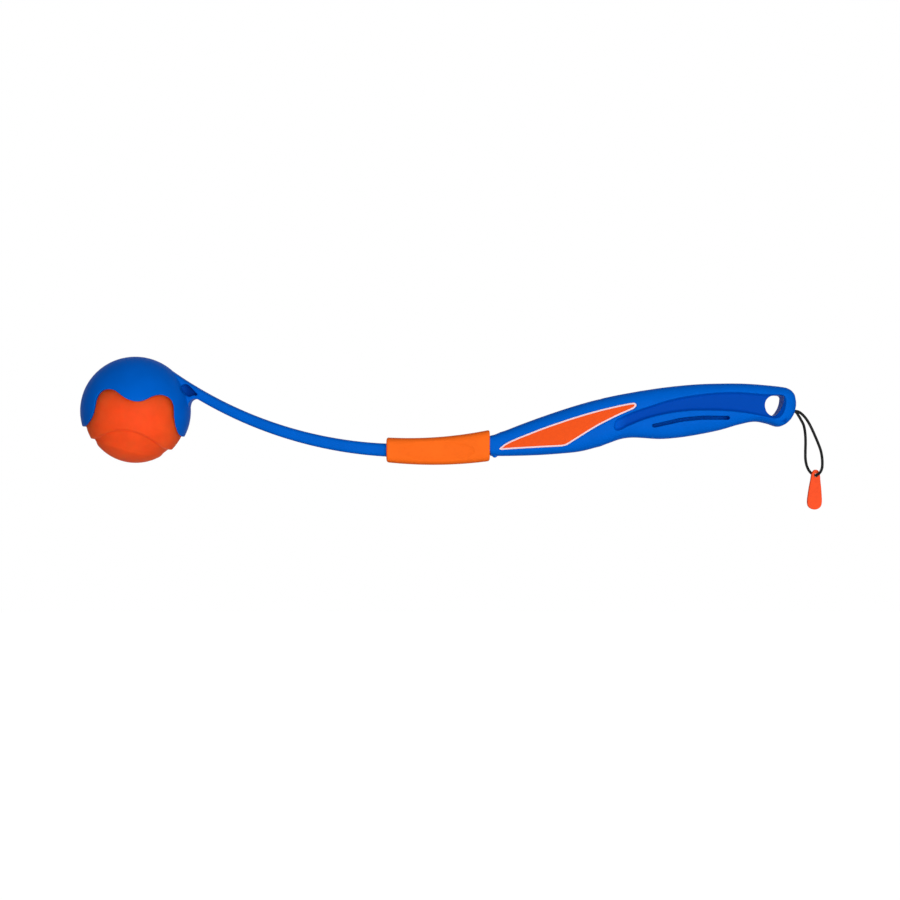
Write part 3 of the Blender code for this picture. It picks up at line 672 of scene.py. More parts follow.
def settle(piece, skin=0.0, passes=0):
    """Keeps the shape that a piece's modifiers give, and returns the pieces that cut it or joined it.

    A skin is the size of the faces in a closed skin with eased edges; without one, the shape stays sharp.
    """
    if skin:
        remesh = piece.modifiers.new("skin", "REMESH")
        remesh.mode = "VOXEL"
        remesh.voxel_size = skin
        ease = piece.modifiers.new("eased edges", "SMOOTH")
        ease.factor = 0.5
        ease.iterations = passes
    cutters = {modifier.object for modifier in piece.modifiers if modifier.type == "BOOLEAN"}
    mesh = finished_mesh(piece)
    piece.modifiers.clear()
    piece.data = mesh
    mesh.shade_smooth()
    return cutters


def dress(piece, material, body, slot, *nodes):
    """Gives a finished piece its material and body, and puts it in the place of its solids; the slot is not
    used.
    """
    piece.data.materials.clear()
    piece.data.materials.append(material)
    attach(piece, body)
    if nodes:
        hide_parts(*nodes)


def discard(pieces):
    for piece in pieces:
        bpy.data.objects.remove(piece)


# Materials


def node(tree, kind, sockets=None, **settings):
    """Adds a node. A socket's value is a number, a colour or the output that feeds it."""
    made = tree.nodes.new(kind)
    for name, value in settings.items():
        setattr(made, name, value)
    for name, value in (sockets or {}).items():
        if isinstance(value, bpy.types.NodeSocket):
            tree.links.new(value, made.inputs[name])
        else:
            made.inputs[name].default_value = value
    return made


def new_material(name, **sockets):
    """A Principled material, its tree and its shader. An underscore in a socket's name is a space."""
    material = bpy.data.materials.new(name)
    material.use_nodes = True
    shader = material.node_tree.nodes["Principled BSDF"]
    for socket, value in sockets.items():
        shader.inputs[socket.replace("_", " ")].default_value = value
    return material, material.node_tree, shader


def shade(colour, factor):
    return (*[min(1.0, channel * factor) for channel in colour], 1)


def grain(tree, place, size, detail=2.0):
    """An uneven pattern whose spots are about size apart."""
    noise = node(tree, "ShaderNodeTexNoise", {"Vector": place, "Scale": 1 / size, "Detail": detail})
    return noise.outputs["Fac"]


def mottled(tree, shader, colour, spread, patch, roughness):
    """Lets colour and roughness drift from patch to patch, and returns the place for other patterns."""
    place = node(tree, "ShaderNodeTexCoord").outputs["Object"]
    drift = grain(tree, place, patch, detail=3.0)
    tint = node(tree, "ShaderNodeValToRGB", {"Fac": drift})
    for stop, position, factor in zip(tint.color_ramp.elements, MOTTLE_STOPS, (1 - spread, 1 + spread)):
        stop.position = position
        stop.color = shade(colour, factor)
    tree.links.new(tint.outputs["Color"], shader.inputs["Base Color"])
    gloss = node(
        tree, "ShaderNodeMapRange", {"Value": drift, "To Min": roughness[0], "To Max": roughness[1]}
    )
    tree.links.new(gloss.outputs["Result"], shader.inputs["Roughness"])
    return place


def parting_line(tree, place, width):
    """A fine line along the middle plane, where the two halves of the mould meet."""
    across = node(tree, "ShaderNodeSeparateXYZ", {"Vector": place}).outputs["Y"]
    away = node(tree, "ShaderNodeMath", {0: across}, operation="ABSOLUTE").outputs[0]
    return node(
        tree, "ShaderNodeMapRange",
        {"Value": away, "From Min": 0.0, "From Max": width, "To Min": 1.0, "To Max": 0.0},
        interpolation_type="SMOOTHSTEP",
    ).outputs["Result"]


def relief(tree, shader, layers):
    """Bumps one over the other; each layer is a height, its depth in metres and its strength."""
    normal = None
    for height, depth, strength in layers:
        sockets = {"Height": height, "Distance": depth, "Strength": strength}
        if normal:
            sockets["Normal"] = normal
        normal = node(tree, "ShaderNodeBump", sockets).outputs["Normal"]
    tree.links.new(normal, shader.inputs["Normal"])


def moulded_polypropylene(name, colour, roughness):
    # Polypropylene, injection moulded in a lightly spark-eroded tool: deep colour under a satin skin that
    # pales only at its turning edges, a faint cloudiness from the melt's flow, and a fine parting line. The
    # tool's grain is too fine to show, so it is drawn at 0.35 mm
    material, tree, shader = new_material(
        name, IOR=1.49, Specular_IOR_Level=0.004, Coat_Weight=0.03, Coat_Roughness=0.24, Coat_IOR=1.25
    )
    place = mottled(tree, shader, colour, spread=0.035, patch=0.014, roughness=roughness)
    layers = (
        (grain(tree, place, size=0.00035), 0.00002, 0.20),
        (grain(tree, place, size=0.0045), 0.00006, 0.25),
        (parting_line(tree, place, width=0.00018), 0.00006, 0.6),
    )
    relief(tree, shader, layers)
    return material


def shaded_recess_floor(material, colour, web, start, end, middle, reach):
    # Paints shade on the floor of a recess in the side: a darker colour there stands in for the shade that
    # falls in it, so the recess looks deeper. Middle gives the height of the floor's middle line as the
    # factors of a sum in X, the highest power first
    tree = material.node_tree
    shader = tree.nodes["Principled BSDF"]
    spot = node(tree, "ShaderNodeTexCoord")
    place = node(tree, "ShaderNodeSeparateXYZ", {"Vector": spot.outputs["Object"]})
    facing = node(tree, "ShaderNodeSeparateXYZ", {"Vector": spot.outputs["Normal"]})
    off_plane = node(tree, "ShaderNodeMath", {0: place.outputs["Y"]}, operation="ABSOLUTE").outputs[0]
    sideways = node(tree, "ShaderNodeMath", {0: facing.outputs["Y"]}, operation="ABSOLUTE").outputs[0]
    height = middle[0]
    for factor in middle[1:]:
        height = node(
            tree, "ShaderNodeMath", {0: place.outputs["X"], 1: height, 2: factor}, operation="MULTIPLY_ADD"
        ).outputs[0]
    above = node(tree, "ShaderNodeMath", {0: place.outputs["Z"], 1: height}, operation="SUBTRACT")
    away = node(tree, "ShaderNodeMath", {0: above.outputs[0]}, operation="ABSOLUTE").outputs[0]
    tests = (
        (off_plane, web / 2 + SHADE_CLIMB[0], web / 2 + SHADE_CLIMB[1]),
        (sideways, *SHADE_FACING),
        (away, reach + SHADE_FADE_OUT, reach),
        (place.outputs["X"], start, start + SHADE_FADE_IN),
        (place.outputs["X"], end + SHADE_FADE_OUT, end),
    )
    mask = 1.0
    for value, none, full in tests:
        share = node(tree, "ShaderNodeMapRange", {"Value": value, "From Min": none, "From Max": full})
        mask = node(
            tree, "ShaderNodeMath", {0: share.outputs["Result"], 1: mask}, operation="MULTIPLY"
        ).outputs[0]
    plain = shader.inputs["Base Color"].links[0].from_socket
    # Painted shade: the darker colour is mixed in wherever the mask holds, in place of the shade in the
    # recess
    tint = node(tree, "ShaderNodeMixRGB", {"Fac": mask, "Color1": plain, "Color2": (*colour, 1)})
    tree.links.new(tint.outputs["Color"], shader.inputs["Base Color"])


def vulcanised_rubber(colour):
    # Natural rubber, vulcanised in a blasted mould: matt, with a dusty bloom and a fine pebble, drawn at
    # 0.6 mm so that it shows; red light goes some way through it, so its shaded side looks redder
    material, tree, shader = new_material(
        "vulcanised_rubber", IOR=1.52, Specular_IOR_Level=0.05, Subsurface_Weight=0.8,
        Subsurface_Radius=(1.0, 0.12, 0.05), Subsurface_Scale=0.020,
    )
    place = mottled(tree, shader, colour, spread=0.05, patch=0.009, roughness=(0.52, 0.66))
    layers = (
        (grain(tree, place, size=0.0006, detail=4.0), 0.00005, 0.35),
        (grain(tree, place, size=0.0060), 0.00012, 0.30),
    )
    relief(tree, shader, layers)
    return material


def thermoplastic_rubber(colour):
    # Thermoplastic rubber, injection moulded: even colour under a silky skin, its grain drawn at 0.3 mm
    material, tree, shader = new_material("thermoplastic_rubber", IOR=1.50, Specular_IOR_Level=0.05)
    place = mottled(tree, shader, colour, spread=0.04, patch=0.004, roughness=(0.40, 0.52))
    relief(tree, shader, ((grain(tree, place, size=0.0003), 0.00002, 0.25),))
    return material


def printed_film(name, colour):
    # Polypropylene film, screen printed and laid in the mould: flat colour under a smooth clear gloss
    material, tree, shader = new_material(
        name, IOR=1.49, Specular_IOR_Level=0.03, Coat_Weight=0.01, Coat_Roughness=0.22
    )
    place = mottled(tree, shader, colour, spread=0.02, patch=0.003, roughness=(0.36, 0.44))
    relief(tree, shader, ((grain(tree, place, size=0.0012), 0.00002, 0.15),))
    return material


def braided_elastic():
    # Polyester braid over a rubber core: black yarn with a dull sheen and fine threads along each strand
    material, tree, shader = new_material("braided_elastic", Specular_IOR_Level=0.15, Sheen_Weight=0.04)
    place = mottled(tree, shader, linear("#060708"), spread=0.20, patch=0.0006, roughness=(0.58, 0.74))
    relief(tree, shader, ((grain(tree, place, size=0.00012), 0.00002, 0.4),))
    return material


def drawn_steel():
    # Stainless steel wire, drawn and cropped: bright, with rings round it from the die, shown 0.35 mm apart
    # because the real ones are too fine. At scale 1 the wave pattern repeats 20 times in 2 pi metres
    material, tree, shader = new_material("drawn_steel", Metallic=1.0)
    place = mottled(tree, shader, linear("#B4B5B8"), spread=0.06, patch=0.0008, roughness=(0.22, 0.34))
    scale = 2 * math.pi / 20 / 0.00035
    rings = node(
        tree, "ShaderNodeTexWave", {"Vector": place, "Scale": scale, "Distortion": 1.5, "Detail": 2.0},
        bands_direction="Y",
    ).outputs["Fac"]
    relief(tree, shader, ((rings, 0.00001, 0.2),))
    return material


def moulded_nylon():
    # Nylon, injection moulded: a plain black satin, its grain drawn at 0.3 mm
    material, tree, shader = new_material("moulded_nylon", IOR=1.53, Specular_IOR_Level=0.4)
    place = mottled(tree, shader, linear("#101114"), spread=0.2, patch=0.002, roughness=(0.40, 0.52))
    relief(tree, shader, ((grain(tree, place, size=0.0003), 0.00002, 0.3),))
    return material


def looked_at(tree):
    """1 for what the camera sees, mirrored and through clear pieces too, and 0 for light that falls."""
    path = node(tree, "ShaderNodeLightPath")
    seen = path.outputs["Is Camera Ray"]
    for ray in ("Is Glossy Ray", "Is Transmission Ray"):
        seen = node(tree, "ShaderNodeMath", {0: seen, 1: path.outputs[ray]}, operation="MAXIMUM").outputs[0]
    return seen


def studio_paper():
    # Seamless paper: matt pale grey, so little light comes back from it, and white to the eye. Its fibres
    # are drawn 1.1 mm apart
    material, tree, shader = new_material("studio_paper", Roughness=0.9, Specular_IOR_Level=0.1)
    place = node(tree, "ShaderNodeTexCoord").outputs["Object"]
    tint = node(tree, "ShaderNodeValToRGB", {"Fac": grain(tree, place, size=0.00111)})
    for stop, code in zip(tint.color_ramp.elements, ("#BCBCBC", "#C4C4C4")):
        stop.color = (*linear(code), 1)
    tree.links.new(tint.outputs["Color"], shader.inputs["Base Color"])
    glow = node(tree, "ShaderNodeEmission", {"Strength": PAPER_GLOW})
    sockets = {0: looked_at(tree), 1: PAPER_GLOW_SHARE}
    share = node(tree, "ShaderNodeMath", sockets, operation="MULTIPLY")
    mix = node(
        tree, "ShaderNodeMixShader",
        {0: share.outputs[0], 1: shader.outputs["BSDF"], 2: glow.outputs["Emission"]},
    )
    tree.links.new(mix.outputs["Shader"], tree.nodes["Material Output"].inputs["Surface"])
    return material


# Pieces


def handle_form(name, inset=0.0):
    """The handle's outer form, or a smaller copy that lies inset below its surface."""
    steps = HANDLE_RINGS_PER_STATION
    shares = []
    for left, right in zip(HANDLE_STATION_SHARES, HANDLE_STATION_SHARES[1:]):
        shares += [left[0] + (right[0] - left[0]) * step / steps for step in range(steps)]
    rings = []
    for share in [*shares, 1.0]:
        top, bottom, width = smooth_between(HANDLE_STATION_SHARES, share)
        centre = handle_point((share, (top + bottom) / 2))
        half_height = HANDLE_RISE * (top - bottom) / 2 - inset
        half_width = HANDLE_WIDTH * width / 2 - inset
        rings.append(section(centre, UP, half_width, half_height, HANDLE_SQUARENESS))
    return loft(name, rings)


def side_outline(shares):
    return [handle_point(pair) for pair in shares]


def slot_outline():
    """The grip slot: a narrow strip along its own line, round at its low end."""
    first, last = SLOT_LINE_SHARES[0][0], SLOT_LINE_SHARES[-1][0]
    shares = [first + (last - first) * step / SLOT_PIECES for step in range(SLOT_PIECES + 1)]
    line = [handle_point((share, *smooth_between(SLOT_LINE_SHARES, share))) for share in shares]
    upper, lower, low_end = [], [], []
    for i, point in enumerate(line):
        along = (line[min(i + 1, len(line) - 1)] - line[max(i - 1, 0)]).normalized()
        off = Vector((-along.z, 0, along.x)) * SLOT_WIDTH / 2
        upper.append(point + off)
        lower.append(point - off)
    off = upper[0] - line[0]
    back = Vector((-off.z, 0, off.x))
    end_steps = 12
    for step in range(1, end_steps):
        turn = math.pi * step / end_steps
        low_end.append(line[0] - off * math.cos(turn) + back * math.sin(turn))
    return upper + lower[::-1] + low_end


def make_handle():
    half = HANDLE_WIDTH / 2 + OVERRUN
    handle = handle_form("thrower_handle")

    top = TONGUE_BELOW_TOP - ARM_DEPTH_AT_FOLD / 2
    bottom = PIVOT_DROP + TONGUE_BELOW_PIVOT
    rings = []
    for run in (FOLD_FROM_NOSE - SEAT_GAP / 2, FOLD_FROM_NOSE / 2, 0.0, -TONGUE_ROOT):
        up = (ARC_CENTRE - arc_point(run)).normalized()
        centre = arc_point(run, (top + bottom) / 2)
        rings.append(section(centre, up, ARM_WIDTH_AT_FOLD / 2, (bottom - top) / 2, ARM_SQUARENESS))
    carve(handle, loft("tongue", rings), "UNION")
    carve(handle, rod("outer_knuckles", PIVOT, KNUCKLE_RADIUS, KNUCKLE_SPAN, "Y"), "UNION")
    room = CENTRE_KNUCKLE + 2 * SWING_GAP
    carve(handle, rod("centre_knuckle_room", PIVOT, NECK_REACH + SWING_GAP, room, "Y"))
    bore_length = KNUCKLE_SPAN + 2 * OVERRUN
    carve(handle, rod("pin_bore", PIVOT, PIN_RADIUS + SEAT_GAP, bore_length, "Y", sides=32))
    nub = rod("nub", handle_point(NUB_PLACE_SHARES), NUB_RADIUS, NUB_LENGTH, "Y", sides=32)
    carve(handle, nub, "UNION")

    for side in (-1, 1):
        low, high = sorted((side * CHANNEL_WEB / 2, side * (half + CHANNEL_DRAFT)))
        outline = side_outline(CHANNEL_OUTLINE_SHARES)
        carve(handle, prism(f"channel_{side}", outline, low, high, draft=CHANNEL_DRAFT))
        low, high = sorted((side * SLOT_WEB / 2, side * half))
        carve(handle, prism(f"slot_{side}", slot_outline(), low, high, smooth=False))
    carve(handle, prism("hanging_hole", side_outline(HANGING_HOLE_SHARES), -half, half))

    around_label = grown(side_outline(LABEL_OUTLINE_SHARES), SEAT_GAP)
    recess = prism("label_recess", around_label, -half, half, smooth=False)
    floor = handle_form("label_floor", LABEL_THICKNESS + SEAT_GAP)
    carve(recess, floor)
    carve(handle, recess)
    middle = ANCHOR + Vector(((LONG_OVERRUN - ANCHOR_LENGTH - SEAT_GAP) / 2, 0, 0))
    depth = ANCHOR_LENGTH + SEAT_GAP + LONG_OVERRUN
    carve(handle, rod("anchor_bore", middle, ANCHOR_RADIUS + SEAT_GAP, depth, "X", sides=48))
    discard({*settle(handle, looks().skin, passes=4), floor})
    return handle


def make_label(name, side, form, core):
    """One label: the printed field, and the pale line that runs round it."""
    outline = side_outline(LABEL_OUTLINE_SHARES)
    inner = drawn_in(outline, looks().rim_width)
    low, high = sorted((0.0, side * (HANDLE_WIDTH / 2 + OVERRUN)))
    field = prism(name, inner, low, high, smooth=False)
    rim = prism(name + "_rim", outline, low, high, smooth=False)
    window = prism(name + "_window", inner, low - OVERRUN, high + OVERRUN, smooth=False)
    carve(rim, window)
    for piece in (field, rim):
        carve(piece, form, "INTERSECT")
        carve(piece, core)
        settle(piece)
        piece.data.set_sharp_from_angle(angle=SHARP_ANGLE)
    discard([window])
    return field, rim


def meeting_angle(reach, cup_reach):
    """The angle at the arc's centre from the cup to where the two circles of those reaches meet."""
    apart = BEND_RADIUS + CUP_DROP
    return math.acos((reach**2 + apart**2 - cup_reach**2) / (2 * reach * apart))


def taper(start, end, run):
    """The arm's size at a run: it narrows from start, past the sleeve, to end."""
    share = min(1.0, max(0.0, (run - SLEEVE_LENGTH) / ARM_TAPER_LENGTH))
    return start + (end - start) * share


def neck_outline():
    """The short web that ties the centre knuckle to the arm."""
    reach = KNUCKLE_RADIUS + SWING_GAP
    high = PIVOT_DROP - ARM_DEPTH_AT_FOLD / 2 + KNUCKLE_RADIUS
    corners = ((SEAT_GAP, -SEAT_GAP), (reach, -SEAT_GAP), (reach, high), (SEAT_GAP, high))
    return [arc_point(FOLD_FROM_NOSE + run, PIVOT_DROP - rise) for run, rise in corners]


def fillet_centre():
    """The run and the centre of the hollow round between the arm's underside and the cup."""
    low = BEND_RADIUS + ARM_DEPTH_AT_CUP / 2
    angle = meeting_angle(low + FILLET_RADIUS, CUP_OUTER_RADIUS + FILLET_RADIUS)
    run = ARM_LENGTH - angle * BEND_RADIUS
    return run, arc_point(run, ARM_DEPTH_AT_CUP / 2 + FILLET_RADIUS)


def gusset_outline():
    """The web under the arm where it runs into the cup, with a hollow round underside."""
    run, centre = fillet_centre()
    on_arm = arc_point(run, ARM_DEPTH_AT_CUP / 2)
    on_cup = CUP_CENTRE + CUP_OUTER_RADIUS * (centre - CUP_CENTRE).normalized()
    first = (on_arm - centre).normalized()
    last = (on_cup - centre).normalized()
    steps = 16
    bend = [centre + FILLET_RADIUS * first.slerp(last, step / steps) for step in range(steps + 1)]
    inside_cup = CUP_CENTRE + (CUP_INNER_RADIUS + CUP_WALL / 3) * (centre - CUP_CENTRE).normalized()
    return [arc_point(run), *bend, inside_cup, arc_point(arm_end())]


def pocket_outline():
    """The three-cornered core-out beside the cup."""
    run = fillet_centre()[0]
    high = Vector((math.cos(POCKET_HIGH_ANGLE), 0, math.sin(POCKET_HIGH_ANGLE)))
    low = Vector((math.cos(POCKET_LOW_ANGLE), 0, math.sin(POCKET_LOW_ANGLE)))
    return [
        CUP_CENTRE + CUP_OUTER_RADIUS * high,
        arc_point(run + POCKET_SETBACK),
        arc_point(run + POCKET_SETBACK / 2, ARM_DEPTH_AT_CUP / 6),
        arc_point(run + POCKET_SETBACK, ARM_DEPTH_AT_CUP / 3),
        CUP_CENTRE + (CUP_OUTER_RADIUS + CUP_WALL / 5) * low,
    ]


def arm_end():
    """The run at which the arm's top meets the cup."""
    return ARM_LENGTH - meeting_angle(BEND_RADIUS - ARM_DEPTH_AT_CUP / 2, CUP_OUTER_RADIUS) * BEND_RADIUS


def make_arm():
    start = FOLD_FROM_NOSE + SEAT_GAP / 2
    end = arm_end()
    rings = []
    for step in range(ARM_RINGS):
        run = start + (end - start) * step / (ARM_RINGS - 1)
        up = (ARC_CENTRE - arc_point(run)).normalized()
        half_width = taper(ARM_WIDTH_AT_FOLD, ARM_WIDTH_AT_CUP, run) / 2
        half_height = taper(ARM_DEPTH_AT_FOLD, ARM_DEPTH_AT_CUP, run) / 2
        rings.append(section(arc_point(run), up, half_width, half_height, ARM_SQUARENESS))
    arm = loft("thrower_arm", rings)

    half = ARM_WIDTH_AT_CUP / 2
    carve(arm, ellipsoid("cup_outside", CUP_CENTRE, [CUP_OUTER_RADIUS] * 3), "UNION")
    carve(arm, prism("gusset", gusset_outline(), -half, half, smooth=False), "UNION")
    for side in (-1, 1):
        low, high = sorted((side * POCKET_WEB / 2, side * ARM_WIDTH_AT_CUP))
        carve(arm, prism(f"pocket_{side}", pocket_outline(), low, high))
    carve(arm, ellipsoid("cup_inside", BALL_CENTRE, [CUP_INNER_RADIUS] * 3))
    edge = [CUP_CENTRE + CUP_OUTER_RADIUS * Vector((x, 0, z)) for x, z in CUP_EDGE_SHARES]
    reach = CUP_OUTER_RADIUS + OVERRUN
    carve(arm, prism("cup_window", edge, -reach, reach))

    inner = CENTRE_KNUCKLE / 2
    outer = KNUCKLE_SPAN / 2 + OVERRUN
    for side in (-1, 1):
        middle = PIVOT + Vector((0, side * (inner + outer) / 2, 0))
        room = rod(f"knuckle_room_{side}", middle, KNUCKLE_RADIUS + SWING_GAP, outer - inner, "Y")
        carve(arm, room)
    knuckle_width = 2 * (inner - SEAT_GAP)
    carve(arm, rod("centre_knuckle", PIVOT, KNUCKLE_RADIUS, knuckle_width, "Y"), "UNION")
    neck_half = inner - 2 * SEAT_GAP
    carve(arm, prism("neck", neck_outline(), -neck_half, neck_half, smooth=False), "UNION")
    carve(arm, rod("arm_pin_bore", PIVOT, PIN_RADIUS + SEAT_GAP, KNUCKLE_SPAN, "Y", sides=32))
    discard(settle(arm, looks().skin, passes=4))
    return arm


def sleeve_rings(left, right, edges, squareness, half_width):
    """Upright sections between two lines that follow the arc.

    Left and right each give an x and the two lines' drops there. Edges gives each section's x and how far
    the section is drawn in.
    """
    rings = []
    for x, inset in edges:
        share = min(1.0, max(0.0, (x - left[0]) / (right[0] - left[0])))
        top = arc_height(x, left[1] + (right[1] - left[1]) * share)
        bottom = arc_height(x, left[2] + (right[2] - left[2]) * share)
        centre = Vector((x, 0, (top + bottom) / 2))
        half_height = (top - bottom) / 2
        rings.append(section(centre, UP, half_width - inset, half_height - inset, squareness))
    return rings


def make_sleeve():
    right = NOSE.x - SEAT_GAP
    left = right - SLEEVE_LENGTH
    cavity_top = -ARM_DEPTH_AT_FOLD / 2 - SLEEVE_FIT
    floor_left = ARM_DEPTH_AT_FOLD / 2 + SLEEVE_FIT
    floor_at_pivot = PIVOT_DROP + KNUCKLE_RADIUS + SWING_GAP
    floor_right = floor_left + (floor_at_pivot - floor_left) * SLEEVE_LENGTH / (PIVOT.x - left)
    inner_half = ARM_WIDTH_AT_FOLD / 2 + SLEEVE_FIT
    outer_half = HANDLE_WIDTH / 2 - SLEEVE_SETBACK

    straight = [(left + (right - left) * step / SLEEVE_RINGS, 0.0) for step in range(SLEEVE_RINGS + 1)]
    edge_steps = 8
    edge = []
    for step in range(edge_steps + 1):
        turn = math.pi / 2 * step / edge_steps
        edge.append((SLEEVE_EDGE * (1 - math.cos(turn)), SLEEVE_EDGE * (1 - math.sin(turn))))
    # The rounded edges take the place of the two outermost sections at each end
    rounded = [(left + along, inset) for along, inset in edge]
    rounded += straight[2:-2]
    rounded += [(right - along, inset) for along, inset in reversed(edge)]
    outside = sleeve_rings(
        (left, cavity_top - SLEEVE_TOP_WALLS[0], floor_left + SLEEVE_FLOOR_WALLS[0]),
        (right, cavity_top - SLEEVE_TOP_WALLS[1], floor_right + SLEEVE_FLOOR_WALLS[1]),
        rounded, SLEEVE_SQUARENESS, outer_half,
    )
    sleeve = loft("thrower_sleeve", outside)
    inside = sleeve_rings(
        (left, cavity_top, floor_left),
        (right, cavity_top, floor_right),
        [(left - OVERRUN, 0.0), *straight, (right + OVERRUN, 0.0)], CAVITY_SQUARENESS, inner_half,
    )
    carve(sleeve, loft("sleeve_cavity", inside))
    middle = (left + right) / 2
    for side in (-1, 1):
        centre = Vector((middle, side * outer_half, arc_height(middle, DIMPLE_DROP)))
        dimple = ellipsoid(f"dimple_{side}", centre, (DIMPLE_LENGTH / 2, DIMPLE_DEPTH, DIMPLE_HEIGHT / 2))
        carve(sleeve, dimple)
    discard(settle(sleeve, looks().skin, passes=5))
    return sleeve


def seam_angle(shares, turn):
    """How far down from the top of the ball a seam line lies, at a turn round it."""
    return math.acos(sum(share * math.cos(order * turn) for order, share in enumerate(shares)))


def make_ball():
    """The ball's skin: full above its upper seam, sunk between the seams, and less sunk below the lower."""
    above, below = (width / 2 / BALL_RADIUS for width in BALL_STEP_WIDTHS)
    # Rows of faces in the upper cap, the step down, the channel, the step up and the lower cap
    counts = (72, 12, 8, 16, 24)
    sides = 256
    shape = bmesh.new()
    columns = []
    for side in range(sides):
        turn = 2 * math.pi * side / sides
        upper, lower = seam_angle(UPPER_SEAM_SHARES, turn), seam_angle(LOWER_SEAM_SHARES, turn)
        knots = (0.0, upper - above, upper + above, lower - below, lower + below, math.pi)
        sunk = (0.0, 0.0, BALL_CHANNEL_DEPTH, BALL_CHANNEL_DEPTH, BALL_CAP_DEPTH, BALL_CAP_DEPTH)
        column = []
        for count, low, high, depth, deeper in zip(counts, knots, knots[1:], sunk, sunk[1:]):
            for step in range(count):
                t = step / count
                angle = low + (high - low) * t
                radius = BALL_RADIUS - depth - (deeper - depth) * t * t * (3 - 2 * t)
                flat = radius * math.sin(angle)
                point = Vector((flat * math.cos(turn), flat * math.sin(turn), radius * math.cos(angle)))
                column.append(point)
        columns.append([shape.verts.new(BALL_CENTRE + point) for point in column[1:]])
    crown = shape.verts.new(BALL_CENTRE + Vector((0, 0, BALL_RADIUS)))
    foot = shape.verts.new(BALL_CENTRE - Vector((0, 0, BALL_RADIUS - BALL_CAP_DEPTH)))
    for column, following in zip(columns, [*columns[1:], columns[0]]):
        shape.faces.new((crown, column[0], following[0]))
        for row in range(len(column) - 1):
            shape.faces.new((column[row], column[row + 1], following[row + 1], following[row]))
        shape.faces.new((column[-1], foot, following[-1]))
    ball = from_bmesh("thrower_ball", shape)
    ball.data.shade_smooth()
    return ball


def make_tab():
    along = Vector((-math.sin(TAB_LEAN), 0, -math.cos(TAB_LEAN)))
    across = Vector((-along.z, 0, along.x))
    top = TAB_HOLE - TAB_HOLE_FROM_TOP * along
    sides = {-1: [], 1: []}
    for down, half in TAB_HALF_WIDTH_SHARES:
        for side, points in sides.items():
            points.append(top + TAB_LENGTH * (side * half * across + down * along))
    outline = sides[1] + sides[-1][::-1]
    tab = prism("loop_tab", outline, -TAB_THICKNESS / 2, TAB_THICKNESS / 2)
    # The easing of its edges widens the hole by as much as it is cut too small
    carve(tab, rod("tab_hole", TAB_HOLE, TAB_HOLE_RADIUS - TAB_HOLE_EASING, 2 * TAB_THICKNESS, "Y"))
    discard(settle(tab, looks().skin / 2, passes=8))
    return tab


def smooth_route(route, step_length):
    """Points about one step apart on a smooth curve through the route's own points."""
    points = [Vector(point) for point in route]
    line = []
    for i in range(len(points) - 1):
        before, after = points[max(i - 1, 0)], points[min(i + 2, len(points) - 1)]
        left, right = points[i], points[i + 1]
        pieces = max(1, round((right - left).length / step_length))
        line += [curve_between(before, left, right, after, step / pieces) for step in range(pieces)]
    return [*line, points[-1]]


def make_cord():
    """The elastic loop: a round braid whose strands cross, along the route. Its path and length too."""
    radius = looks().cord_diameter / 2
    strands = looks().strands
    line = smooth_route(CORD_ROUTE, BRAID_STEP)
    rings = []
    side = Vector((0, 1, 0))
    run = 0.0
    for i, point in enumerate(line):
        along = (line[min(i + 1, len(line) - 1)] - line[max(i - 1, 0)]).normalized()
        side = (side - along * side.dot(along)).normalized()
        up = along.cross(side)
        if i:
            run += (point - line[i - 1]).length
        twist = 2 * math.pi * run / BRAID_PITCH * strands
        ring = []
        for step in range(BRAID_SIDES):
            turn = 2 * math.pi * step / BRAID_SIDES
            weave = math.sin(strands * turn + twist) * math.sin(strands * turn - twist)
            reach = radius * (1 - BRAID_DEPTH_SHARE * (1 - weave))
            ring.append(point + reach * (math.cos(turn) * side + math.sin(turn) * up))
        rings.append(ring)
    cord = loft("loop_cord", rings)
    cord.data.shade_smooth()
    path = smooth_route(CORD_ROUTE, CORD_STEP)
    length = sum((b - a).length for a, b in zip(path, path[1:]))
    return cord, path, length


# Operators, in the order in which they run


class THROWER_OT_camera(bpy.types.Operator):
    """Puts the camera square to the thrower's side"""

    bl_idname = "thrower.camera"
    bl_label = "Camera"

    def execute(self, context):
        camera = bpy.data.cameras.new("studio_camera")
        camera.lens = CAMERA_LENS
        camera.clip_end = CAMERA_REACH
        holder = link("studio_camera", camera)
        holder.location = VIEW_CENTRE - Vector((0, CAMERA_DISTANCE, 0))
        holder.rotation_euler = (math.pi / 2, 0, 0)
        context.scene.camera = holder
        return {"FINISHED"}


class THROWER_OT_loop(bpy.types.Operator):
    """Builds the wrist loop and its pull tab"""

    bl_idname = "thrower.loop"
    bl_label = "Wrist Loop"

    def execute(self, context):
        cord, path, length = make_cord()
        tab = make_tab()
        dress(cord, braided_elastic(), "cord", "cord_black", "elastic_cord")
        dress(tab, thermoplastic_rubber(looks().tab), "tab", "tab_orange", "pull_tab")
        return {"FINISHED"}


class THROWER_OT_handle(bpy.types.Operator):
    """Builds the handle with its channels, slots and hanging hole"""

    bl_idname = "thrower.handle"
    bl_label = "Handle"

    def execute(self, context):
        blue = moulded_polypropylene("handle_polypropylene", looks().blue, roughness=(0.34, 0.44))
        # Painted shade: the side channels' floor gets the darker channel blue
        shaded_recess_floor(
            blue, looks().recess, CHANNEL_WEB, CHANNEL_START, CHANNEL_END, CHANNEL_MIDDLE, CHANNEL_REACH
        )
        dress(make_handle(), blue, "handle", "handle_blue", "handle")
        return {"FINISHED"}


class THROWER_OT_labels(bpy.types.Operator):
    """Builds the labels on both sides of the handle"""

    bl_idname = "thrower.labels"
    bl_label = "Labels"

    def execute(self, context):
        field_print = printed_film("label_field_print", looks().label)
        rim_print = printed_film("label_rim_print", looks().rim)
        form = handle_form("label_form")
        core = handle_form("label_core", LABEL_THICKNESS)
        for name, side in (("label_front", -1), ("label_back", 1)):
            field, rim = make_label("print_" + name, side, form, core)
            dress(field, field_print, "handle", "label_orange", name)
            dress(rim, rim_print, "handle", "label_orange")
        discard([form, core])
        return {"FINISHED"}


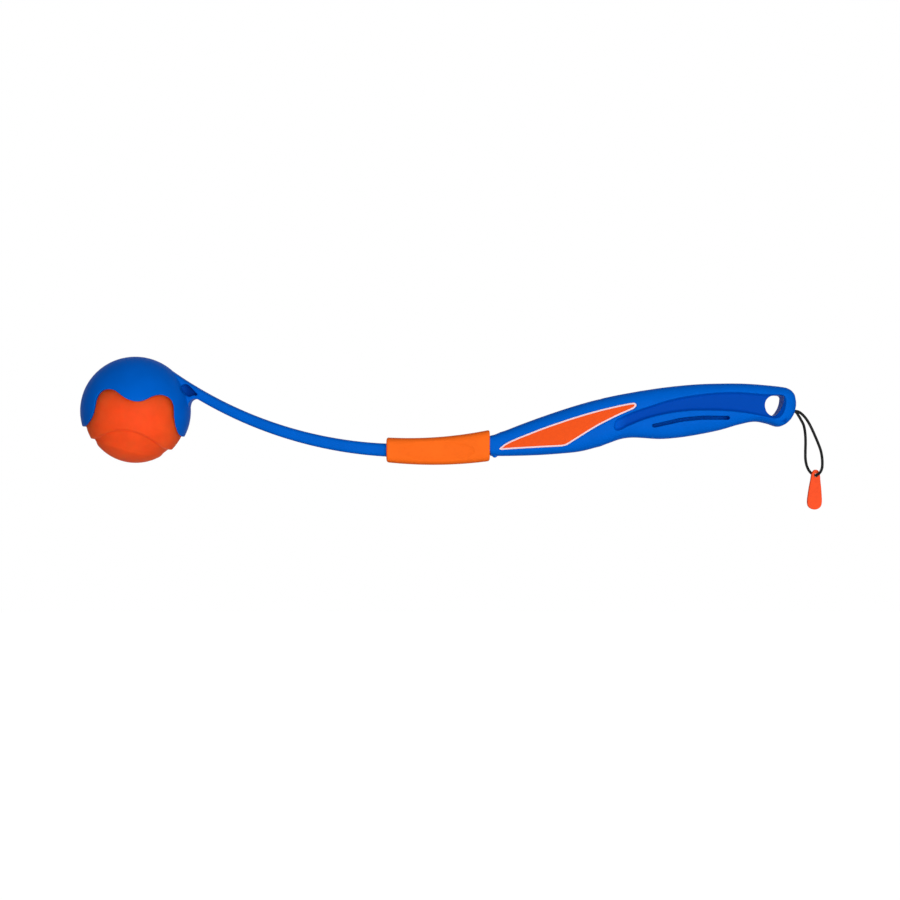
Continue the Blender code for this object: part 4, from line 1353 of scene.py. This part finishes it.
class THROWER_OT_arm(bpy.types.Operator):
    """Builds the launcher arm and its ball cup"""

    bl_idname = "thrower.arm"
    bl_label = "Arm and Cup"

    def execute(self, context):
        blue = moulded_polypropylene("arm_polypropylene", looks().blue, roughness=(0.34, 0.42))
        start = CUP_CENTRE.x + POCKET_START_SHARE * CUP_INNER_RADIUS
        end = CUP_CENTRE.x + POCKET_END_SHARE * CUP_INNER_RADIUS
        # Painted shade: the pockets' floor beside the cup gets the darker pocket blue
        shaded_recess_floor(blue, looks().pocket, POCKET_WEB, start, end, (CUP_CENTRE.z,), CUP_INNER_RADIUS)
        dress(make_arm(), blue, "arm", "arm_blue", "launcher_arm")
        return {"FINISHED"}


class THROWER_OT_sleeve(bpy.types.Operator):
    """Builds the lock sleeve with its thumb dimples"""

    bl_idname = "thrower.sleeve"
    bl_label = "Lock Sleeve"

    def execute(self, context):
        orange = moulded_polypropylene("sleeve_polypropylene", looks().orange, roughness=(0.38, 0.48))
        dress(make_sleeve(), orange, "sleeve", "sleeve_orange", "lock_sleeve")
        return {"FINISHED"}


class THROWER_OT_ball(bpy.types.Operator):
    """Builds the rubber ball"""

    bl_idname = "thrower.ball"
    bl_label = "Ball"

    def execute(self, context):
        dress(make_ball(), vulcanised_rubber(looks().ball), "ball", "ball_orange", "ball")
        return {"FINISHED"}


class THROWER_OT_fittings(bpy.types.Operator):
    """Gives the hinge pin and the cord's anchor their finishes"""

    bl_idname = "thrower.fittings"
    bl_label = "Pin and Anchor"

    def execute(self, context):
        for name, material in (("hinge_pin", drawn_steel()), ("cord_anchor", moulded_nylon())):
            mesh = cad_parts[name].data
            mesh.materials.clear()
            mesh.materials.append(material)
        return {"FINISHED"}


class THROWER_OT_stage(bpy.types.Operator):
    """Lays the paper, sets the lamps and makes the surroundings white"""

    bl_idname = "thrower.stage"
    bl_label = "Stage"

    def execute(self, context):
        shape = bmesh.new()
        bmesh.ops.create_grid(shape, x_segments=8, y_segments=8, size=FLOOR_SIZE / 2)
        floor = from_bmesh("paper_floor", shape)
        floor.location = VIEW_CENTRE - Vector((0, 0, FLOOR_DROP))
        floor.data.materials.append(studio_paper())

        for name, place, size, power in LAMPS:
            lamp = bpy.data.lights.new(name, "AREA")
            lamp.size = size
            lamp.energy = power
            holder = link(name, lamp)
            holder.location = place
            holder.rotation_euler = (VIEW_CENTRE - Vector(place)).to_track_quat("-Z", "Y").to_euler()

        world = bpy.data.worlds.new("white_studio")
        context.scene.world = world
        world.use_nodes = True
        tree = world.node_tree
        level = node(
            tree, "ShaderNodeMapRange",
            {"Value": looked_at(tree), "To Min": SURROUNDING_LIGHT, "To Max": SURROUNDING_WHITE},
        )
        tree.links.new(level.outputs["Result"], tree.nodes["Background"].inputs["Strength"])
        tree.nodes["Background"].inputs["Color"].default_value = (1, 1, 1, 1)
        context.scene.view_settings.view_transform = "Standard"
        return {"FINISHED"}


OPERATORS = (
    THROWER_OT_camera,
    THROWER_OT_loop,
    THROWER_OT_handle,
    THROWER_OT_labels,
    THROWER_OT_arm,
    THROWER_OT_sleeve,
    THROWER_OT_ball,
    THROWER_OT_fittings,
    THROWER_OT_stage,
)


class THROWER_PT_sidebar(bpy.types.Panel):
    """Lists the thrower's pieces"""

    bl_idname = "THROWER_PT_sidebar"
    bl_label = "Dog Ball Thrower"
    bl_space_type = "VIEW_3D"
    bl_region_type = "UI"
    bl_category = "Thrower"

    def draw(self, context):
        for name in ThrowerLooks.__annotations__:
            self.layout.prop(context.scene.thrower_looks, name)
        for operator in OPERATORS:
            self.layout.operator(operator.bl_idname)


CLASSES = (ThrowerLooks, *OPERATORS, THROWER_PT_sidebar)


def register():
    for kind in CLASSES:
        bpy.utils.register_class(kind)
    bpy.types.Scene.thrower_looks = PointerProperty(type=ThrowerLooks)


def unregister():
    del bpy.types.Scene.thrower_looks
    for kind in reversed(CLASSES):
        bpy.utils.unregister_class(kind)


def main():
    register()
    for operator in OPERATORS:
        family, action = operator.bl_idname.split(".")
        getattr(getattr(bpy.ops, family), action)()


if __name__ == "__main__":
    main()
